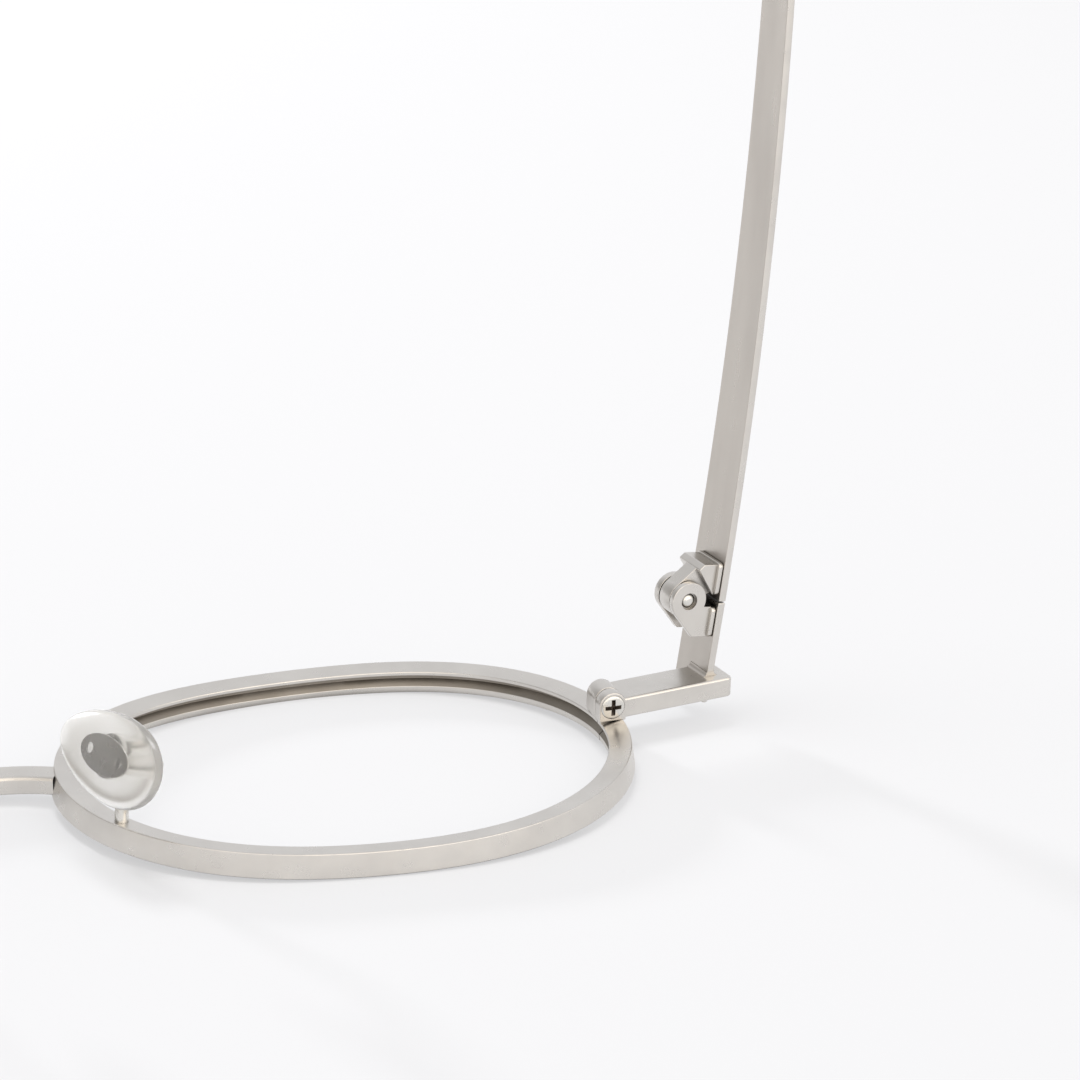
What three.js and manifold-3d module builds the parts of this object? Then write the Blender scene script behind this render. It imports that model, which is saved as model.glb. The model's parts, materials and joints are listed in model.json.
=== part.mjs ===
// A pair of metal spectacles with empty rims, lying on the front of its rims with both temples open.
// Millimetres. +X is the wearer's right, +Y the brow side and +Z the back, towards the wearer's head.
// The origin is at the middle of the footprint, on the surface that the rims lie on.
// Every piece of the right half is modelled beside a rim centred on the origin, and the left half
// is its mirror image.

import * as THREE from "three";
import { mergeVertices } from "three/addons/utils/BufferGeometryUtils.js";
import Module from "manifold-3d";

const wasm = await Module();
wasm.setup();

// ---------------------------------------------------------------- driving dimensions

const RIM_GAP = 17.6; // between the two rims at the nose
const BRAZE_GAP = 0.04; // between pieces that are brazed or pressed together
const RUNNING_GAP = 0.06; // between faces that turn against each other

// Rim: a grooved ring on the lens's sphere, open at one seam
const RIM_WIDTH = 49.9;
const RIM_HEIGHT = 38.7;
const RIM_SKEW = 1.21; // fuller towards brow and nose, and towards cheek and temple
const RIM_EGG = 0.27; // fuller on the nose side
const BASE_CURVE = 151; // radius of the lens's sphere
const RIM_THICK = 2.03; // in the plane of the lens
const RIM_DEPTH = 2.16; // front to back
const RIM_EDGE = 0.12; // chamfer on the four corners of the section
const GROOVE_WIDTH = 1.16;
const GROOVE_DEPTH = 0.62;
const RIM_STEPS = 72;

// Rim lock: a D-shaped block in two halves behind the seam of the rim, drawn together by a screw
const LOCK_ANGLE = -8.9; // degrees round the rim from its temple end
const LOCK_TURN = -9; // degrees, of the block about Z
const LOCK_WIDTH = 2.5;
const LOCK_HEIGHT = 2.8; // above the back of the rim
const LOCK_LOWER = 1.2; // depth of the half that takes the screw's head
const LOCK_UPPER = 2.1; // depth of the threaded half
const LOCK_SEAM = 0.12;
const LOCK_SCREW_DROP = 1.36; // from the top of the block to the screw
const LOCK_SCREW_D = 1.2;
const LOCK_HEAD_D = 2.05;
const LOCK_HEAD_WALL = 0.12; // left round the head at the sides of the block
const LOCK_HEAD_SUNK = 0.5;
const LOCK_HEAD_PROUD = 0.16;
const LOCK_SUNK = 0.3; // of the sides of the block below the back of the rim
const LOCK_SCREW_SHORT = 0.2; // of the screw's tip inside the block
const RECESS_SPAN = 1.62; // cross recess
const RECESS_SLOT = 0.42;
const RECESS_DEPTH = 0.46;

// End piece: the bar from the rim and its lock to the temple side
const BAR_REACH = 10.97; // past the temple end of the rim
const BAR_WIDTH = 3.94;
const BAR_DEPTH = 1.9;
const BAR_ABOVE_RIM = 0.61; // middle of the bar, above the back of the rim's wall
const BAR_SHIFT = 0.72; // towards the brow from the middle of the lock
const BAR_CORNER = 0.4;

// Temple strip: the upright leg on the bar, and the temple that continues it past the hinge
const STRIP_WIDTH = 5.12;
const STRIP_THICK = 0.72;
const STRIP_INSET = 1.5; // from the end of the bar to the foot of the leg
const STRIP_SHIFT = 1.65; // towards the brow from the middle of the bar
const LEAN = 7.9; // degrees outwards at the foot
const LEG_FLARE = 0.3; // width of the braze fillet at the foot
const LEG_FILLET = 0.48; // height of the braze fillet
const LEG_DROP = 1.5; // of the leg beside the bar, below the bar's back
const PEG_D = 0.8; // peg under the leg, through the bar
const PEG_TIP_D = 0.55;
const PEG_PROUD = 0.74;
const PEG_INSET = 0.42; // from the cheek-side edge of the leg to the middle of the peg
const PEG_INWARD = 0.1; // middle of the peg from the inner face of the leg

// Hinge: two outer knuckles on the leg, one inner knuckle on the temple
const HINGE_ABOVE_BAR = 7.42; // axis above the back of the bar
const KNUCKLE_TO_STRIP = 1.05;
const HINGE_SHIFT = -0.42; // from the middle of the strip
const KNUCKLE_R = 1.75;
const KNUCKLE_NEAR = 0.6; // widths along the axis, from the cheek side
const KNUCKLE_MIDDLE = 1.7;
const KNUCKLE_FAR = 0.75;
const FAR_GAP = 0.16; // beside the far knuckle
const LEAF_LENGTH = 2.86; // of the lower leaf along the leg
const LEAF_PLATE = 0.46; // thickness of the base plates
const LEAF_MARGIN = 0.35; // of the base plates past the knuckles
const LEAF_CORNER = 0.45;
const LEAF_DROP = 0.54; // upper edge of the lower leaf, under the axis
const LEAF_HEEL = 0.82; // lower end of the knuckles' slope, out from the axis
const SPLIT_LIFT = 0.08; // of the split in the strip, above the axis
const SPLIT_GAP = 0.14;
const TEMPLE_LEAF_LIFT = 0.6; // lower edge of the temple's leaf above the axis
const TEMPLE_LEAF_RISE = 1.68; // top of its block above the knuckle
const TEMPLE_LEAF_LIP = 0.22; // of its base plate above the block
const SHOULDER = 0.49; // slope between the top and the front of the block
const BROW_X = 1.02; // inner edge of the block's top, out from the axis
const ARM_LEAVES = 86; // degrees round the knuckle to where its arm leaves it
const PIN_D = 1.26;
const PIN_MOUTH_D = 1.6; // of the hole round the pin's end
const PIN_HEAD_D = 2.3;
const PIN_HEAD = 0.4;
const PIN_SUNK = 0.1; // of the pin's end in the near knuckle
const PIN_SLOT = 0.42;
const PIN_SLOT_DEPTH = 0.22;
const PIN_HEAD_PROUD = 0.1;

// Temple and tip
const TEMPLE_LENGTH = 142; // along the strip, from the split to the end of the tip
const TEMPLE_BOW = 490; // radius of the bow in the temple
const TIP_LENGTH = 57;
const TAPER_WIDTH = 3.5; // of the strip where the tip begins
const CORE_WIDTH = 2.1; // of the strip inside the tip
const CORE_SHORT = 6; // of the core from the end of the tip
const EAR_START = 42; // before the end of the tip
const EAR_RADIUS = 24;
const EAR_DROP = 38; // degrees
const TIP_WIDTH = 5.6; // at its broadest
const TIP_NECK = 4.2; // where it begins
const TIP_THICK = 2.6;
const TIP_BROADEST = 0.8; // share of its length where it is broadest
const TIP_ROUND = 0.05; // share of its length in its rounded end
const TIP_END = 0.4; // size of its end face, as a share of its section
const TIP_MOUTH = 1.5; // depth of the broad mouth of the pocket
const POCKET_GAP = 0.1;

// Bridge
const BRIDGE_ANGLE = 166; // degrees round the rim to the bridge's ends
const BRIDGE_RISE = 3.4;
const BRIDGE_BOW = 0.35; // towards the front
const BRIDGE_WIDTH = 2.5;
const BRIDGE_DEPTH = 1.7;
const BRIDGE_ROOT = 1.0; // of each end into the rim's wall, before it is cut to the rim
const BRIDGE_EDGE = 0.3;
const KNEE_OUT = 0.62; // shares of the bridge's half span and of its rise, at its knees
const KNEE_RISE = 0.72;

// Nose pads, their arms and their screws
const ARM_ANGLE = 193; // degrees round the rim to the foot of the arm
const ARM_D = 1.15;
const ARM_RISE = 4.4; // of the arm's loop behind the rim
const ARM_STUB = 1.5; // straight length at each end of the arm
const ARM_BOW = 0.9; // of the loop away from the nose
const PAD_OUTWARD = 0.8; // middle of the pad's screw past the rim's nose side
const PAD_BACK = 7.6; // screw behind the middle of the rim
const PAD_DOWN = 2.4; // screw towards the cheek from the foot of the arm
const PAD_SPLAY = 24; // degrees
const PAD_FRONTAL = 14; // degrees
const PAD_LENGTH = 13.4;
const PAD_WIDTH = 7.4;
const PAD_THICK = 1.7;
const PAD_STANDOFF = 1.15; // back of the pad from its screw
const PAD_PLATE_D = 3.4;
const PAD_PLATE = 0.4;
const PAD_TAB = 0.8; // thickness of the tab
const PAD_TAB_WALL = 0.32; // of the tab round its hole
const PAD_TAB_PLAY = 0.25; // behind the tab, inside the box
const PAD_BELLY = 0.35; // share of its thickness from its back to its broadest section
const BOX_WALL = 0.45;
const BOX_SIZE = 2.4;
const BOX_REACH = 0.75; // of the box's walls past the screw, towards the pad
const PAD_SCREW_D = 0.9;
const PAD_SCREW_HEAD_D = 1.6;
const PAD_SCREW_HEAD = 0.35;
const PAD_SCREW_PROUD = 0.15;
const PAD_SLOT = 0.28;
const PAD_SLOT_DEPTH = 0.15;

// ---------------------------------------------------------------- materials

const metal = (color, roughness) => new THREE.MeshStandardMaterial({ color, roughness, metalness: 1 });
const SATIN_NICKEL = metal(0xcfcac2, 0.42);
const BRUSHED_TEMPLE = metal(0xbdb5aa, 0.46);
const BRIGHT_STEEL = metal(0xd8d5ce, 0.25);
const TIP_ACETATE = new THREE.MeshStandardMaterial({ color: 0x3a2a20, roughness: 0.35, metalness: 0 });
const PAD_SILICONE = new THREE.MeshStandardMaterial({
  color: 0xe9e6df,
  roughness: 0.4,
  metalness: 0,
  transparent: true,
  opacity: 0.6,
});

// ---------------------------------------------------------------- solids

const rad = THREE.MathUtils.degToRad;
const vec = (x, y, z) => new THREE.Vector3(x, y, z);

// A closed geometry with its shared vertices merged.
function welded(geometry) {
  const bare = geometry.clone();
  bare.deleteAttribute("normal");
  bare.deleteAttribute("uv");
  return mergeVertices(bare, 1e-4);
}

function solid(geometry) {
  const merged = welded(geometry);
  const vertProperties = merged.attributes.position.array;
  const triVerts = new Uint32Array(merged.index.array);
  return new wasm.Manifold(new wasm.Mesh({ numProp: 3, vertProperties, triVerts }));
}

function meshOf(made) {
  const { numProp, vertProperties, triVerts } = made.getMesh();
  const geometry = new THREE.BufferGeometry();
  geometry.setAttribute("position", new THREE.BufferAttribute(vertProperties, numProp));
  geometry.setIndex(new THREE.BufferAttribute(triVerts, 1));
  geometry.computeVertexNormals();
  return geometry;
}

const cut = (geometry, ...tools) => {
  const left = tools.reduce((body, tool) => body.subtract(solid(tool)), solid(geometry));
  return meshOf(left);
};

const join = (geometry, ...others) => {
  const whole = others.reduce((body, other) => body.add(solid(other)), solid(geometry));
  return meshOf(whole);
};

// A box between two corners.
function block(low, high) {
  const size = high.clone().sub(low);
  const middle = high.clone().add(low).multiplyScalar(0.5);
  return new THREE.BoxGeometry(size.x, size.y, size.z).translate(middle.x, middle.y, middle.z);
}

// A cylinder along Y between two values of y.
function rod(diameter, yFrom, yTo, x = 0, z = 0, sides = 20) {
  const shaft = new THREE.CylinderGeometry(diameter / 2, diameter / 2, yTo - yFrom, sides);
  return shaft.translate(x, (yFrom + yTo) / 2, z);
}

// An outline in the XZ plane, extruded along Y.
function prism(shape, yFrom, yTo, curveSegments = 10) {
  const body = new THREE.ExtrudeGeometry(shape, { depth: yTo - yFrom, bevelEnabled: false, curveSegments });
  return body.rotateX(Math.PI / 2).translate(0, yTo, 0);
}

function polygon(...points) {
  return new THREE.Shape(points.map(([x, z]) => new THREE.Vector2(x, z)));
}

// ---------------------------------------------------------------- rim

// The outer outline of the rim in the plane of the lens.
function rimOutline(angle) {
  const mean = (RIM_WIDTH + RIM_HEIGHT) / 4;
  const oval = (RIM_WIDTH - RIM_HEIGHT) / 4;
  const egg = RIM_EGG * Math.cos(3 * angle);
  const radius = mean + oval * Math.cos(2 * angle) - RIM_SKEW * Math.sin(2 * angle) - egg;
  return new THREE.Vector2(Math.cos(angle), Math.sin(angle)).multiplyScalar(radius);
}

// The direction in the plane of the lens that points out of the rim.
function rimOutward(angle) {
  const step = 1e-3;
  const along = rimOutline(angle + step).sub(rimOutline(angle - step)).normalize();
  return new THREE.Vector2(along.y, -along.x);
}

// A point on the lens's sphere, or a height behind it.
function onBaseCurve(x, y, height) {
  const fall = Math.sqrt(BASE_CURVE ** 2 - x * x - y * y);
  const inward = vec(-x, -y, fall).divideScalar(BASE_CURVE);
  return vec(x, y, BASE_CURVE - fall).addScaledVector(inward, height);
}

// A point beside the middle of the rim's section: out from it, and behind it.
function alongRim(angle, out, behind) {
  const flat = rimOutline(angle).addScaledVector(rimOutward(angle), out - RIM_THICK / 2);
  return onBaseCurve(flat.x, flat.y, behind);
}

// A ring of any closed section, turned on a lathe and then laid along the rim.
function rimRing(section) {
  const laid = 100;
  const profile = section.map(([out, behind]) => new THREE.Vector2(laid + out, behind));
  const ring = new THREE.LatheGeometry([...profile, profile[0]], RIM_STEPS);
  const places = ring.attributes.position;
  for (let i = 0; i < places.count; i += 1) {
    const x = places.getX(i);
    const z = places.getZ(i);
    const place = alongRim(Math.atan2(-z, x), Math.hypot(x, z) - laid, places.getY(i));
    places.setXYZ(i, place.x, place.y, place.z);
  }
  return ring;
}

function rim() {
  const out = RIM_THICK / 2;
  const deep = RIM_DEPTH / 2;
  const edge = RIM_EDGE;
  const mouth = GROOVE_WIDTH / 2;
  const root = mouth * 0.45;
  const section = [
    [out, -deep + edge],
    [out, deep - edge],
    [out - edge, deep],
    [-out + edge, deep],
    [-out, deep - edge],
    [-out, mouth],
    [-out + GROOVE_DEPTH, root],
    [-out + GROOVE_DEPTH, -root],
    [-out, -mouth],
    [-out, -deep + edge],
    [-out + edge, -deep],
    [out - edge, -deep],
  ];
  const slit = lockPlaced(lockSlit());
  return cut(rimRing(section), slit);
}

// The space that the rim takes from what is brazed to it.
function rimEnvelope() {
  const out = RIM_THICK / 2 + BRAZE_GAP;
  const deep = RIM_DEPTH / 2 + BRAZE_GAP;
  return rimRing([
    [out, -deep],
    [out, deep],
    [-out, deep],
    [-out, -deep],
  ]);
}

// ---------------------------------------------------------------- rim lock

const LOCK_DEPTH = LOCK_LOWER + LOCK_SEAM + LOCK_UPPER;
const LOCK_SEAM_Y = -LOCK_DEPTH / 2 + LOCK_LOWER;
const LOCK_SCREW_Z = LOCK_HEIGHT - LOCK_SCREW_DROP;
const LOCK_SEAT = alongRim(rad(LOCK_ANGLE), 0, RIM_DEPTH / 2);

// The lock is modelled about the middle of its base, with the screw's head at its lowest y.
function lockPlaced(geometry) {
  return geometry.rotateZ(rad(LOCK_TURN)).translate(LOCK_SEAT.x, LOCK_SEAT.y, LOCK_SEAT.z);
}

function lockOutline(grow) {
  const half = LOCK_WIDTH / 2 + grow;
  const sunk = -LOCK_SUNK - grow;
  const crown = LOCK_HEIGHT - LOCK_WIDTH / 2;
  const shape = new THREE.Shape();
  shape.moveTo(-half, sunk);
  shape.lineTo(half, sunk);
  shape.lineTo(half, crown);
  shape.absarc(0, crown, half, 0, Math.PI, false);
  shape.closePath();
  return shape;
}

function lockSlit() {
  const reach = LOCK_WIDTH;
  const low = vec(-reach, LOCK_SEAM_Y, -2 * RIM_DEPTH);
  return block(low, vec(reach, LOCK_SEAM_Y + LOCK_SEAM, RIM_DEPTH));
}

function lockLower() {
  const front = -LOCK_DEPTH / 2;
  const body = prism(lockOutline(0), front, LOCK_SEAM_Y);
  const sink = rod(LOCK_WIDTH - 2 * LOCK_HEAD_WALL, front - 1, front + LOCK_HEAD_SUNK, 0, LOCK_SCREW_Z);
  const hole = rod(LOCK_SCREW_D + 2 * RUNNING_GAP, front, LOCK_SEAM_Y + 1, 0, LOCK_SCREW_Z);
  return cut(lockPlaced(body), lockPlaced(sink), lockPlaced(hole), rimEnvelope());
}

function lockUpper() {
  const body = prism(lockOutline(0), LOCK_SEAM_Y + LOCK_SEAM, LOCK_DEPTH / 2);
  const hole = rod(LOCK_SCREW_D + 2 * BRAZE_GAP, LOCK_SEAM_Y - 1, LOCK_DEPTH / 2 + 1, 0, LOCK_SCREW_Z);
  return cut(lockPlaced(body), lockPlaced(hole), rimEnvelope());
}

function lockScrew() {
  const seatY = -LOCK_DEPTH / 2 + LOCK_HEAD_SUNK;
  const top = -LOCK_DEPTH / 2 - LOCK_HEAD_PROUD;
  const head = rod(LOCK_HEAD_D, top, seatY - BRAZE_GAP, 0, LOCK_SCREW_Z, 32);
  const shank = rod(LOCK_SCREW_D, (top + seatY) / 2, LOCK_DEPTH / 2 - LOCK_SCREW_SHORT, 0, LOCK_SCREW_Z);
  const long = RECESS_SPAN / 2;
  const slot = RECESS_SLOT / 2;
  const floor = top + RECESS_DEPTH;
  const across = block(vec(-long, top - 1, -slot), vec(long, floor, slot)).translate(0, 0, LOCK_SCREW_Z);
  const down = block(vec(-slot, top - 1, -long), vec(slot, floor, long)).translate(0, 0, LOCK_SCREW_Z);
  return lockPlaced(cut(join(head, shank), across, down));
}

// ---------------------------------------------------------------- end piece and leg

const BAR_END_X = RIM_WIDTH / 2 + BAR_REACH;
const BAR_Y = LOCK_SEAT.y + BAR_SHIFT;
const BAR_Z = alongRim(rad(LOCK_ANGLE), RIM_THICK / 2, RIM_DEPTH / 2).z + BAR_ABOVE_RIM;
const BAR_BACK_Z = BAR_Z + BAR_DEPTH / 2;

const HINGE_REACH = KNUCKLE_R + KNUCKLE_TO_STRIP; // axis to the inner face of the strip
const STRIP_Y = BAR_Y + STRIP_SHIFT;
const HINGE_Y = STRIP_Y + HINGE_SHIFT;
const HINGE_Z = BAR_BACK_Z + HINGE_ABOVE_BAR;
const FOOT_X = BAR_END_X - STRIP_INSET - STRIP_THICK; // inner face of the leg at the back of the bar
const HINGE_X = FOOT_X + HINGE_ABOVE_BAR * Math.tan(rad(LEAN)) - HINGE_REACH / Math.cos(rad(LEAN));

// A piece modelled about the hinge's axis, with x outwards from it and z along the strip.
function hingePlaced(geometry) {
  return geometry.rotateY(rad(LEAN)).translate(HINGE_X, HINGE_Y, HINGE_Z);
}

const PEG_X = FOOT_X + PEG_INWARD;
const PEG_Y = STRIP_Y - STRIP_WIDTH / 2 + PEG_INSET;

function peg() {
  const top = BRAZE_GAP + LEG_FILLET / 4;
  const long = top + BAR_DEPTH + PEG_PROUD;
  const body = new THREE.CylinderGeometry(PEG_D / 2, PEG_TIP_D / 2, long, 16);
  return body.rotateX(Math.PI / 2).translate(PEG_X, PEG_Y, BAR_BACK_Z + top - long / 2);
}

function endPiece() {
  const outline = new THREE.Shape();
  const half = BAR_WIDTH / 2;
  const start = LOCK_SEAT.x;
  outline.moveTo(start, -half);
  outline.lineTo(BAR_END_X - BAR_CORNER, -half);
  outline.absarc(BAR_END_X - BAR_CORNER, -half + BAR_CORNER, BAR_CORNER, -Math.PI / 2, 0, false);
  outline.lineTo(BAR_END_X, half - BAR_CORNER);
  outline.absarc(BAR_END_X - BAR_CORNER, half - BAR_CORNER, BAR_CORNER, 0, Math.PI / 2, false);
  outline.lineTo(start, half);
  const bar = new THREE.ExtrudeGeometry(outline, { depth: BAR_DEPTH, bevelEnabled: false, curveSegments: 5 });
  bar.translate(0, BAR_Y, BAR_Z - BAR_DEPTH / 2);
  const socket = prism(lockOutline(BRAZE_GAP), -LOCK_DEPTH / 2 - 1, LOCK_DEPTH / 2 + BRAZE_GAP);
  const pegHole = new THREE.CylinderGeometry(PEG_D / 2 + BRAZE_GAP, PEG_D / 2 + BRAZE_GAP, 4 * BAR_DEPTH, 16);
  pegHole.rotateX(Math.PI / 2).translate(PEG_X, PEG_Y, BAR_Z);
  return cut(bar, rimEnvelope(), lockPlaced(socket), pegHole);
}

// The leg stands on the back of the bar and ends at the split beside the hinge.
function hingeLeg() {
  const inner = HINGE_REACH;
  const outer = HINGE_REACH + STRIP_THICK;
  const top = SPLIT_LIFT - SPLIT_GAP;
  const foot = -2 * HINGE_ABOVE_BAR;
  const low = STRIP_Y - HINGE_Y - STRIP_WIDTH / 2;
  const strip = prism(polygon([inner, foot], [outer, foot], [outer, top], [inner, top]), low, low + STRIP_WIDTH);
  const seat = BAR_BACK_Z + BRAZE_GAP;
  const sloped = STRIP_THICK / Math.cos(rad(LEAN));
  const flare = polygon(
    [FOOT_X - LEG_FLARE, seat],
    [FOOT_X + sloped + LEG_FLARE, seat],
    [FOOT_X + sloped, seat + LEG_FILLET],
    [FOOT_X, seat + LEG_FILLET],
  );
  const barSide = BAR_Y + BAR_WIDTH / 2;
  const fillet = prism(flare, STRIP_Y - STRIP_WIDTH / 2, barSide);
  const far = 4 * STRIP_WIDTH;
  const depth = 4 * HINGE_ABOVE_BAR;
  const onBar = block(vec(FOOT_X - far, -far, seat - depth), vec(FOOT_X + far, barSide + BRAZE_GAP, seat));
  const below = block(vec(FOOT_X - far, -far, seat - depth), vec(FOOT_X + far, far, seat - LEG_DROP));
  const strut = solid(hingePlaced(strip)).subtract(solid(onBar)).subtract(solid(below));
  const standing = strut.add(solid(fillet));
  return meshOf(standing.add(solid(peg())));
}

// ---------------------------------------------------------------- hinge

const HINGE_WIDTH = KNUCKLE_NEAR + KNUCKLE_MIDDLE + KNUCKLE_FAR + RUNNING_GAP + FAR_GAP;
const NEAR_FACE = -HINGE_WIDTH / 2;
const MIDDLE_FROM = NEAR_FACE + KNUCKLE_NEAR + RUNNING_GAP;
const MIDDLE_TO = MIDDLE_FROM + KNUCKLE_MIDDLE;
const FAR_FROM = MIDDLE_TO + FAR_GAP;
const FAR_FACE = HINGE_WIDTH / 2;
const LEAF_BACK = HINGE_REACH - BRAZE_GAP;
const LEAF_FACE = LEAF_BACK - LEAF_PLATE;

// A round knuckle that runs down into the leaf, like a teardrop.
function knuckleOutline() {
  const shelf = -LEAF_DROP;
  const bottom = shelf - LEAF_LENGTH;
  const reach = Math.hypot(LEAF_HEEL, bottom);
  const leave = Math.atan2(bottom, LEAF_HEEL) - Math.acos(KNUCKLE_R / reach) + 2 * Math.PI;
  const meet = Math.asin(shelf / KNUCKLE_R);
  const shape = new THREE.Shape();
  shape.moveTo(LEAF_FACE + LEAF_PLATE / 2, shelf);
  shape.lineTo(KNUCKLE_R * Math.cos(meet), shelf);
  shape.absarc(0, 0, KNUCKLE_R, meet, leave, false);
  shape.lineTo(LEAF_HEEL, bottom);
  shape.lineTo(LEAF_FACE + LEAF_PLATE / 2, bottom);
  return shape;
}

function basePlate(bottom, top) {
  const low = NEAR_FACE - LEAF_MARGIN;
  const high = FAR_FACE + LEAF_MARGIN;
  const corner = LEAF_CORNER;
  const outline = new THREE.Shape();
  outline.moveTo(low, bottom + corner);
  outline.quadraticCurveTo(low, bottom, low + corner, bottom);
  outline.lineTo(high - corner, bottom);
  outline.quadraticCurveTo(high, bottom, high, bottom + corner);
  outline.lineTo(high, top - corner);
  outline.quadraticCurveTo(high, top, high - corner, top);
  outline.lineTo(low + corner, top);
  outline.quadraticCurveTo(low, top, low, top - corner);
  const plate = new THREE.ExtrudeGeometry(outline, { depth: LEAF_PLATE, bevelEnabled: false, curveSegments: 3 });
  // The outline's x becomes y and its y becomes z, and the plate grows outwards.
  const turn = new THREE.Matrix4().makeBasis(vec(0, 1, 0), vec(0, 0, 1), vec(1, 0, 0));
  return plate.applyMatrix4(turn).translate(LEAF_FACE, 0, 0);
}

function frontLeaf() {
  const shelf = -LEAF_DROP;
  const near = prism(knuckleOutline(), NEAR_FACE, NEAR_FACE + KNUCKLE_NEAR, 16);
  const far = prism(knuckleOutline(), FAR_FROM, FAR_FACE, 16);
  const plate = basePlate(shelf - LEAF_LENGTH, shelf);
  const pinHole = rod(PIN_D + 2 * RUNNING_GAP, NEAR_FACE - 1, FAR_FACE + 1);
  const pinMouth = rod(PIN_MOUTH_D, NEAR_FACE - 1, NEAR_FACE + KNUCKLE_NEAR / 2);
  const headSink = rod(PIN_HEAD_D + 2 * BRAZE_GAP, FAR_FACE - PIN_HEAD, FAR_FACE + 1);
  return hingePlaced(cut(join(plate, near, far), pinHole, pinMouth, headSink));
}

// The temple's leaf: a block on a base plate, with one knuckle on an arm below it.
function templeLeaf() {
  const low = TEMPLE_LEAF_LIFT;
  const high = KNUCKLE_R + TEMPLE_LEAF_RISE;
  const clear = KNUCKLE_R + 4 * RUNNING_GAP;
  const back = LEAF_FACE + LEAF_PLATE / 2;
  const shoulder = [BROW_X - SHOULDER, high - SHOULDER];
  const brow = [BROW_X, high];
  const toe = [LEAF_FACE, low];
  const blockOutline = polygon(toe, [back, low], [back, high], brow, shoulder);
  const fullBlock = prism(blockOutline, NEAR_FACE, FAR_FACE + LEAF_MARGIN);
  const arm = new THREE.Shape();
  arm.moveTo(back, low);
  arm.lineTo(back, high);
  arm.lineTo(...brow);
  arm.lineTo(...shoulder);
  arm.absarc(0, 0, KNUCKLE_R, rad(ARM_LEAVES), rad(368), false);
  arm.closePath();
  const knuckle = prism(arm, MIDDLE_FROM, MIDDLE_TO, 16);
  const plate = basePlate(low, high + TEMPLE_LEAF_LIP);
  const bore = rod(PIN_D + 2 * RUNNING_GAP, NEAR_FACE - 1, FAR_FACE + 1);
  const swing = rod(2 * clear, NEAR_FACE - 1, MIDDLE_FROM);
  const swingFar = rod(2 * clear, MIDDLE_TO, FAR_FACE + 1);
  return hingePlaced(cut(join(cut(fullBlock, swing, swingFar), knuckle, plate), bore));
}

function hingePin() {
  const shaft = rod(PIN_D, NEAR_FACE + PIN_SUNK, FAR_FACE - PIN_HEAD / 2);
  const top = FAR_FACE + PIN_HEAD_PROUD;
  const head = rod(PIN_HEAD_D, FAR_FACE - PIN_HEAD + BRAZE_GAP, top, 0, 0, 32);
  const half = PIN_HEAD_D / 2;
  const slot = block(vec(-half, top - PIN_SLOT_DEPTH, -PIN_SLOT / 2), vec(half, top + 1, PIN_SLOT / 2));
  return hingePlaced(cut(join(shaft, head), slot));
}

// ---------------------------------------------------------------- temple

const EAR_FROM = TEMPLE_LENGTH - EAR_START;
const TIP_FROM = TEMPLE_LENGTH - TIP_LENGTH;

// The places along the middle of the temple, with the directions of its width and its outer face.
function templeStations(from, to, count) {
  const lean = (s) => rad(LEAN) - s / TEMPLE_BOW;
  const drop = (s) => Math.min(Math.max(s - EAR_FROM, 0) / EAR_RADIUS, rad(EAR_DROP));
  const heading = (s) => {
    const forward = Math.cos(drop(s));
    return vec(Math.sin(lean(s)) * forward, -Math.sin(drop(s)), Math.cos(lean(s)) * forward);
  };
  const outward = vec(Math.cos(rad(LEAN)), 0, -Math.sin(rad(LEAN)));
  const place = vec(HINGE_X, STRIP_Y, HINGE_Z);
  place.addScaledVector(outward, HINGE_REACH + STRIP_THICK / 2);
  place.addScaledVector(heading(0), SPLIT_LIFT);
  const step = 0.25;
  const stations = [];
  let s = 0;
  for (let i = 0; i <= count; i += 1) {
    const wanted = from + ((to - from) * i) / count;
    while (s < wanted - 1e-9) {
      const hop = Math.min(step, wanted - s);
      place.addScaledVector(heading(s + hop / 2), hop);
      s += hop;
    }
    const face = vec(Math.cos(lean(s)), 0, -Math.sin(lean(s)));
    stations.push({ s, place: place.clone(), face, side: heading(s).cross(face) });
  }
  return stations;
}

// A closed body whose section is laid at each station: columns of points [side, face].
function loft(stations, sectionAt) {
  const sides = sectionAt(stations[0].s).length;
  const body = new THREE.CylinderGeometry(1, 1, stations.length - 1, sides, stations.length - 1);
  const places = body.attributes.position;
  for (let i = 0; i < places.count; i += 1) {
    const row = Math.round((stations.length - 1) / 2 + places.getY(i));
    const { s, place, face, side } = stations[row];
    const round = Math.hypot(places.getX(i), places.getZ(i));
    const turn = Math.atan2(places.getX(i), places.getZ(i)) / (2 * Math.PI);
    const column = (Math.round(turn * sides) + sides) % sides;
    const [across, out] = round < 0.5 ? [0, 0] : sectionAt(s)[column];
    const at = place.clone().addScaledVector(side, across).addScaledVector(face, out);
    places.setXYZ(i, at.x, at.y, at.z);
  }
  return body;
}

function boxSection(width, thick) {
  const half = width / 2;
  const skin = thick / 2;
  return [
    [half, skin],
    [half, -skin],
    [-half, -skin],
    [-half, skin],
  ];
}

function stripWidth(s) {
  return STRIP_WIDTH + (TAPER_WIDTH - STRIP_WIDTH) * Math.min(s / TIP_FROM, 1);
}

function temple() {
  const shown = loft(templeStations(0, TIP_FROM + TIP_MOUTH, 26), (s) => boxSection(stripWidth(s), STRIP_THICK));
  const coreTo = TEMPLE_LENGTH - CORE_SHORT;
  const core = loft(templeStations(TIP_FROM + 1, coreTo, 26), () => boxSection(CORE_WIDTH, STRIP_THICK));
  return join(shown, core);
}

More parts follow.
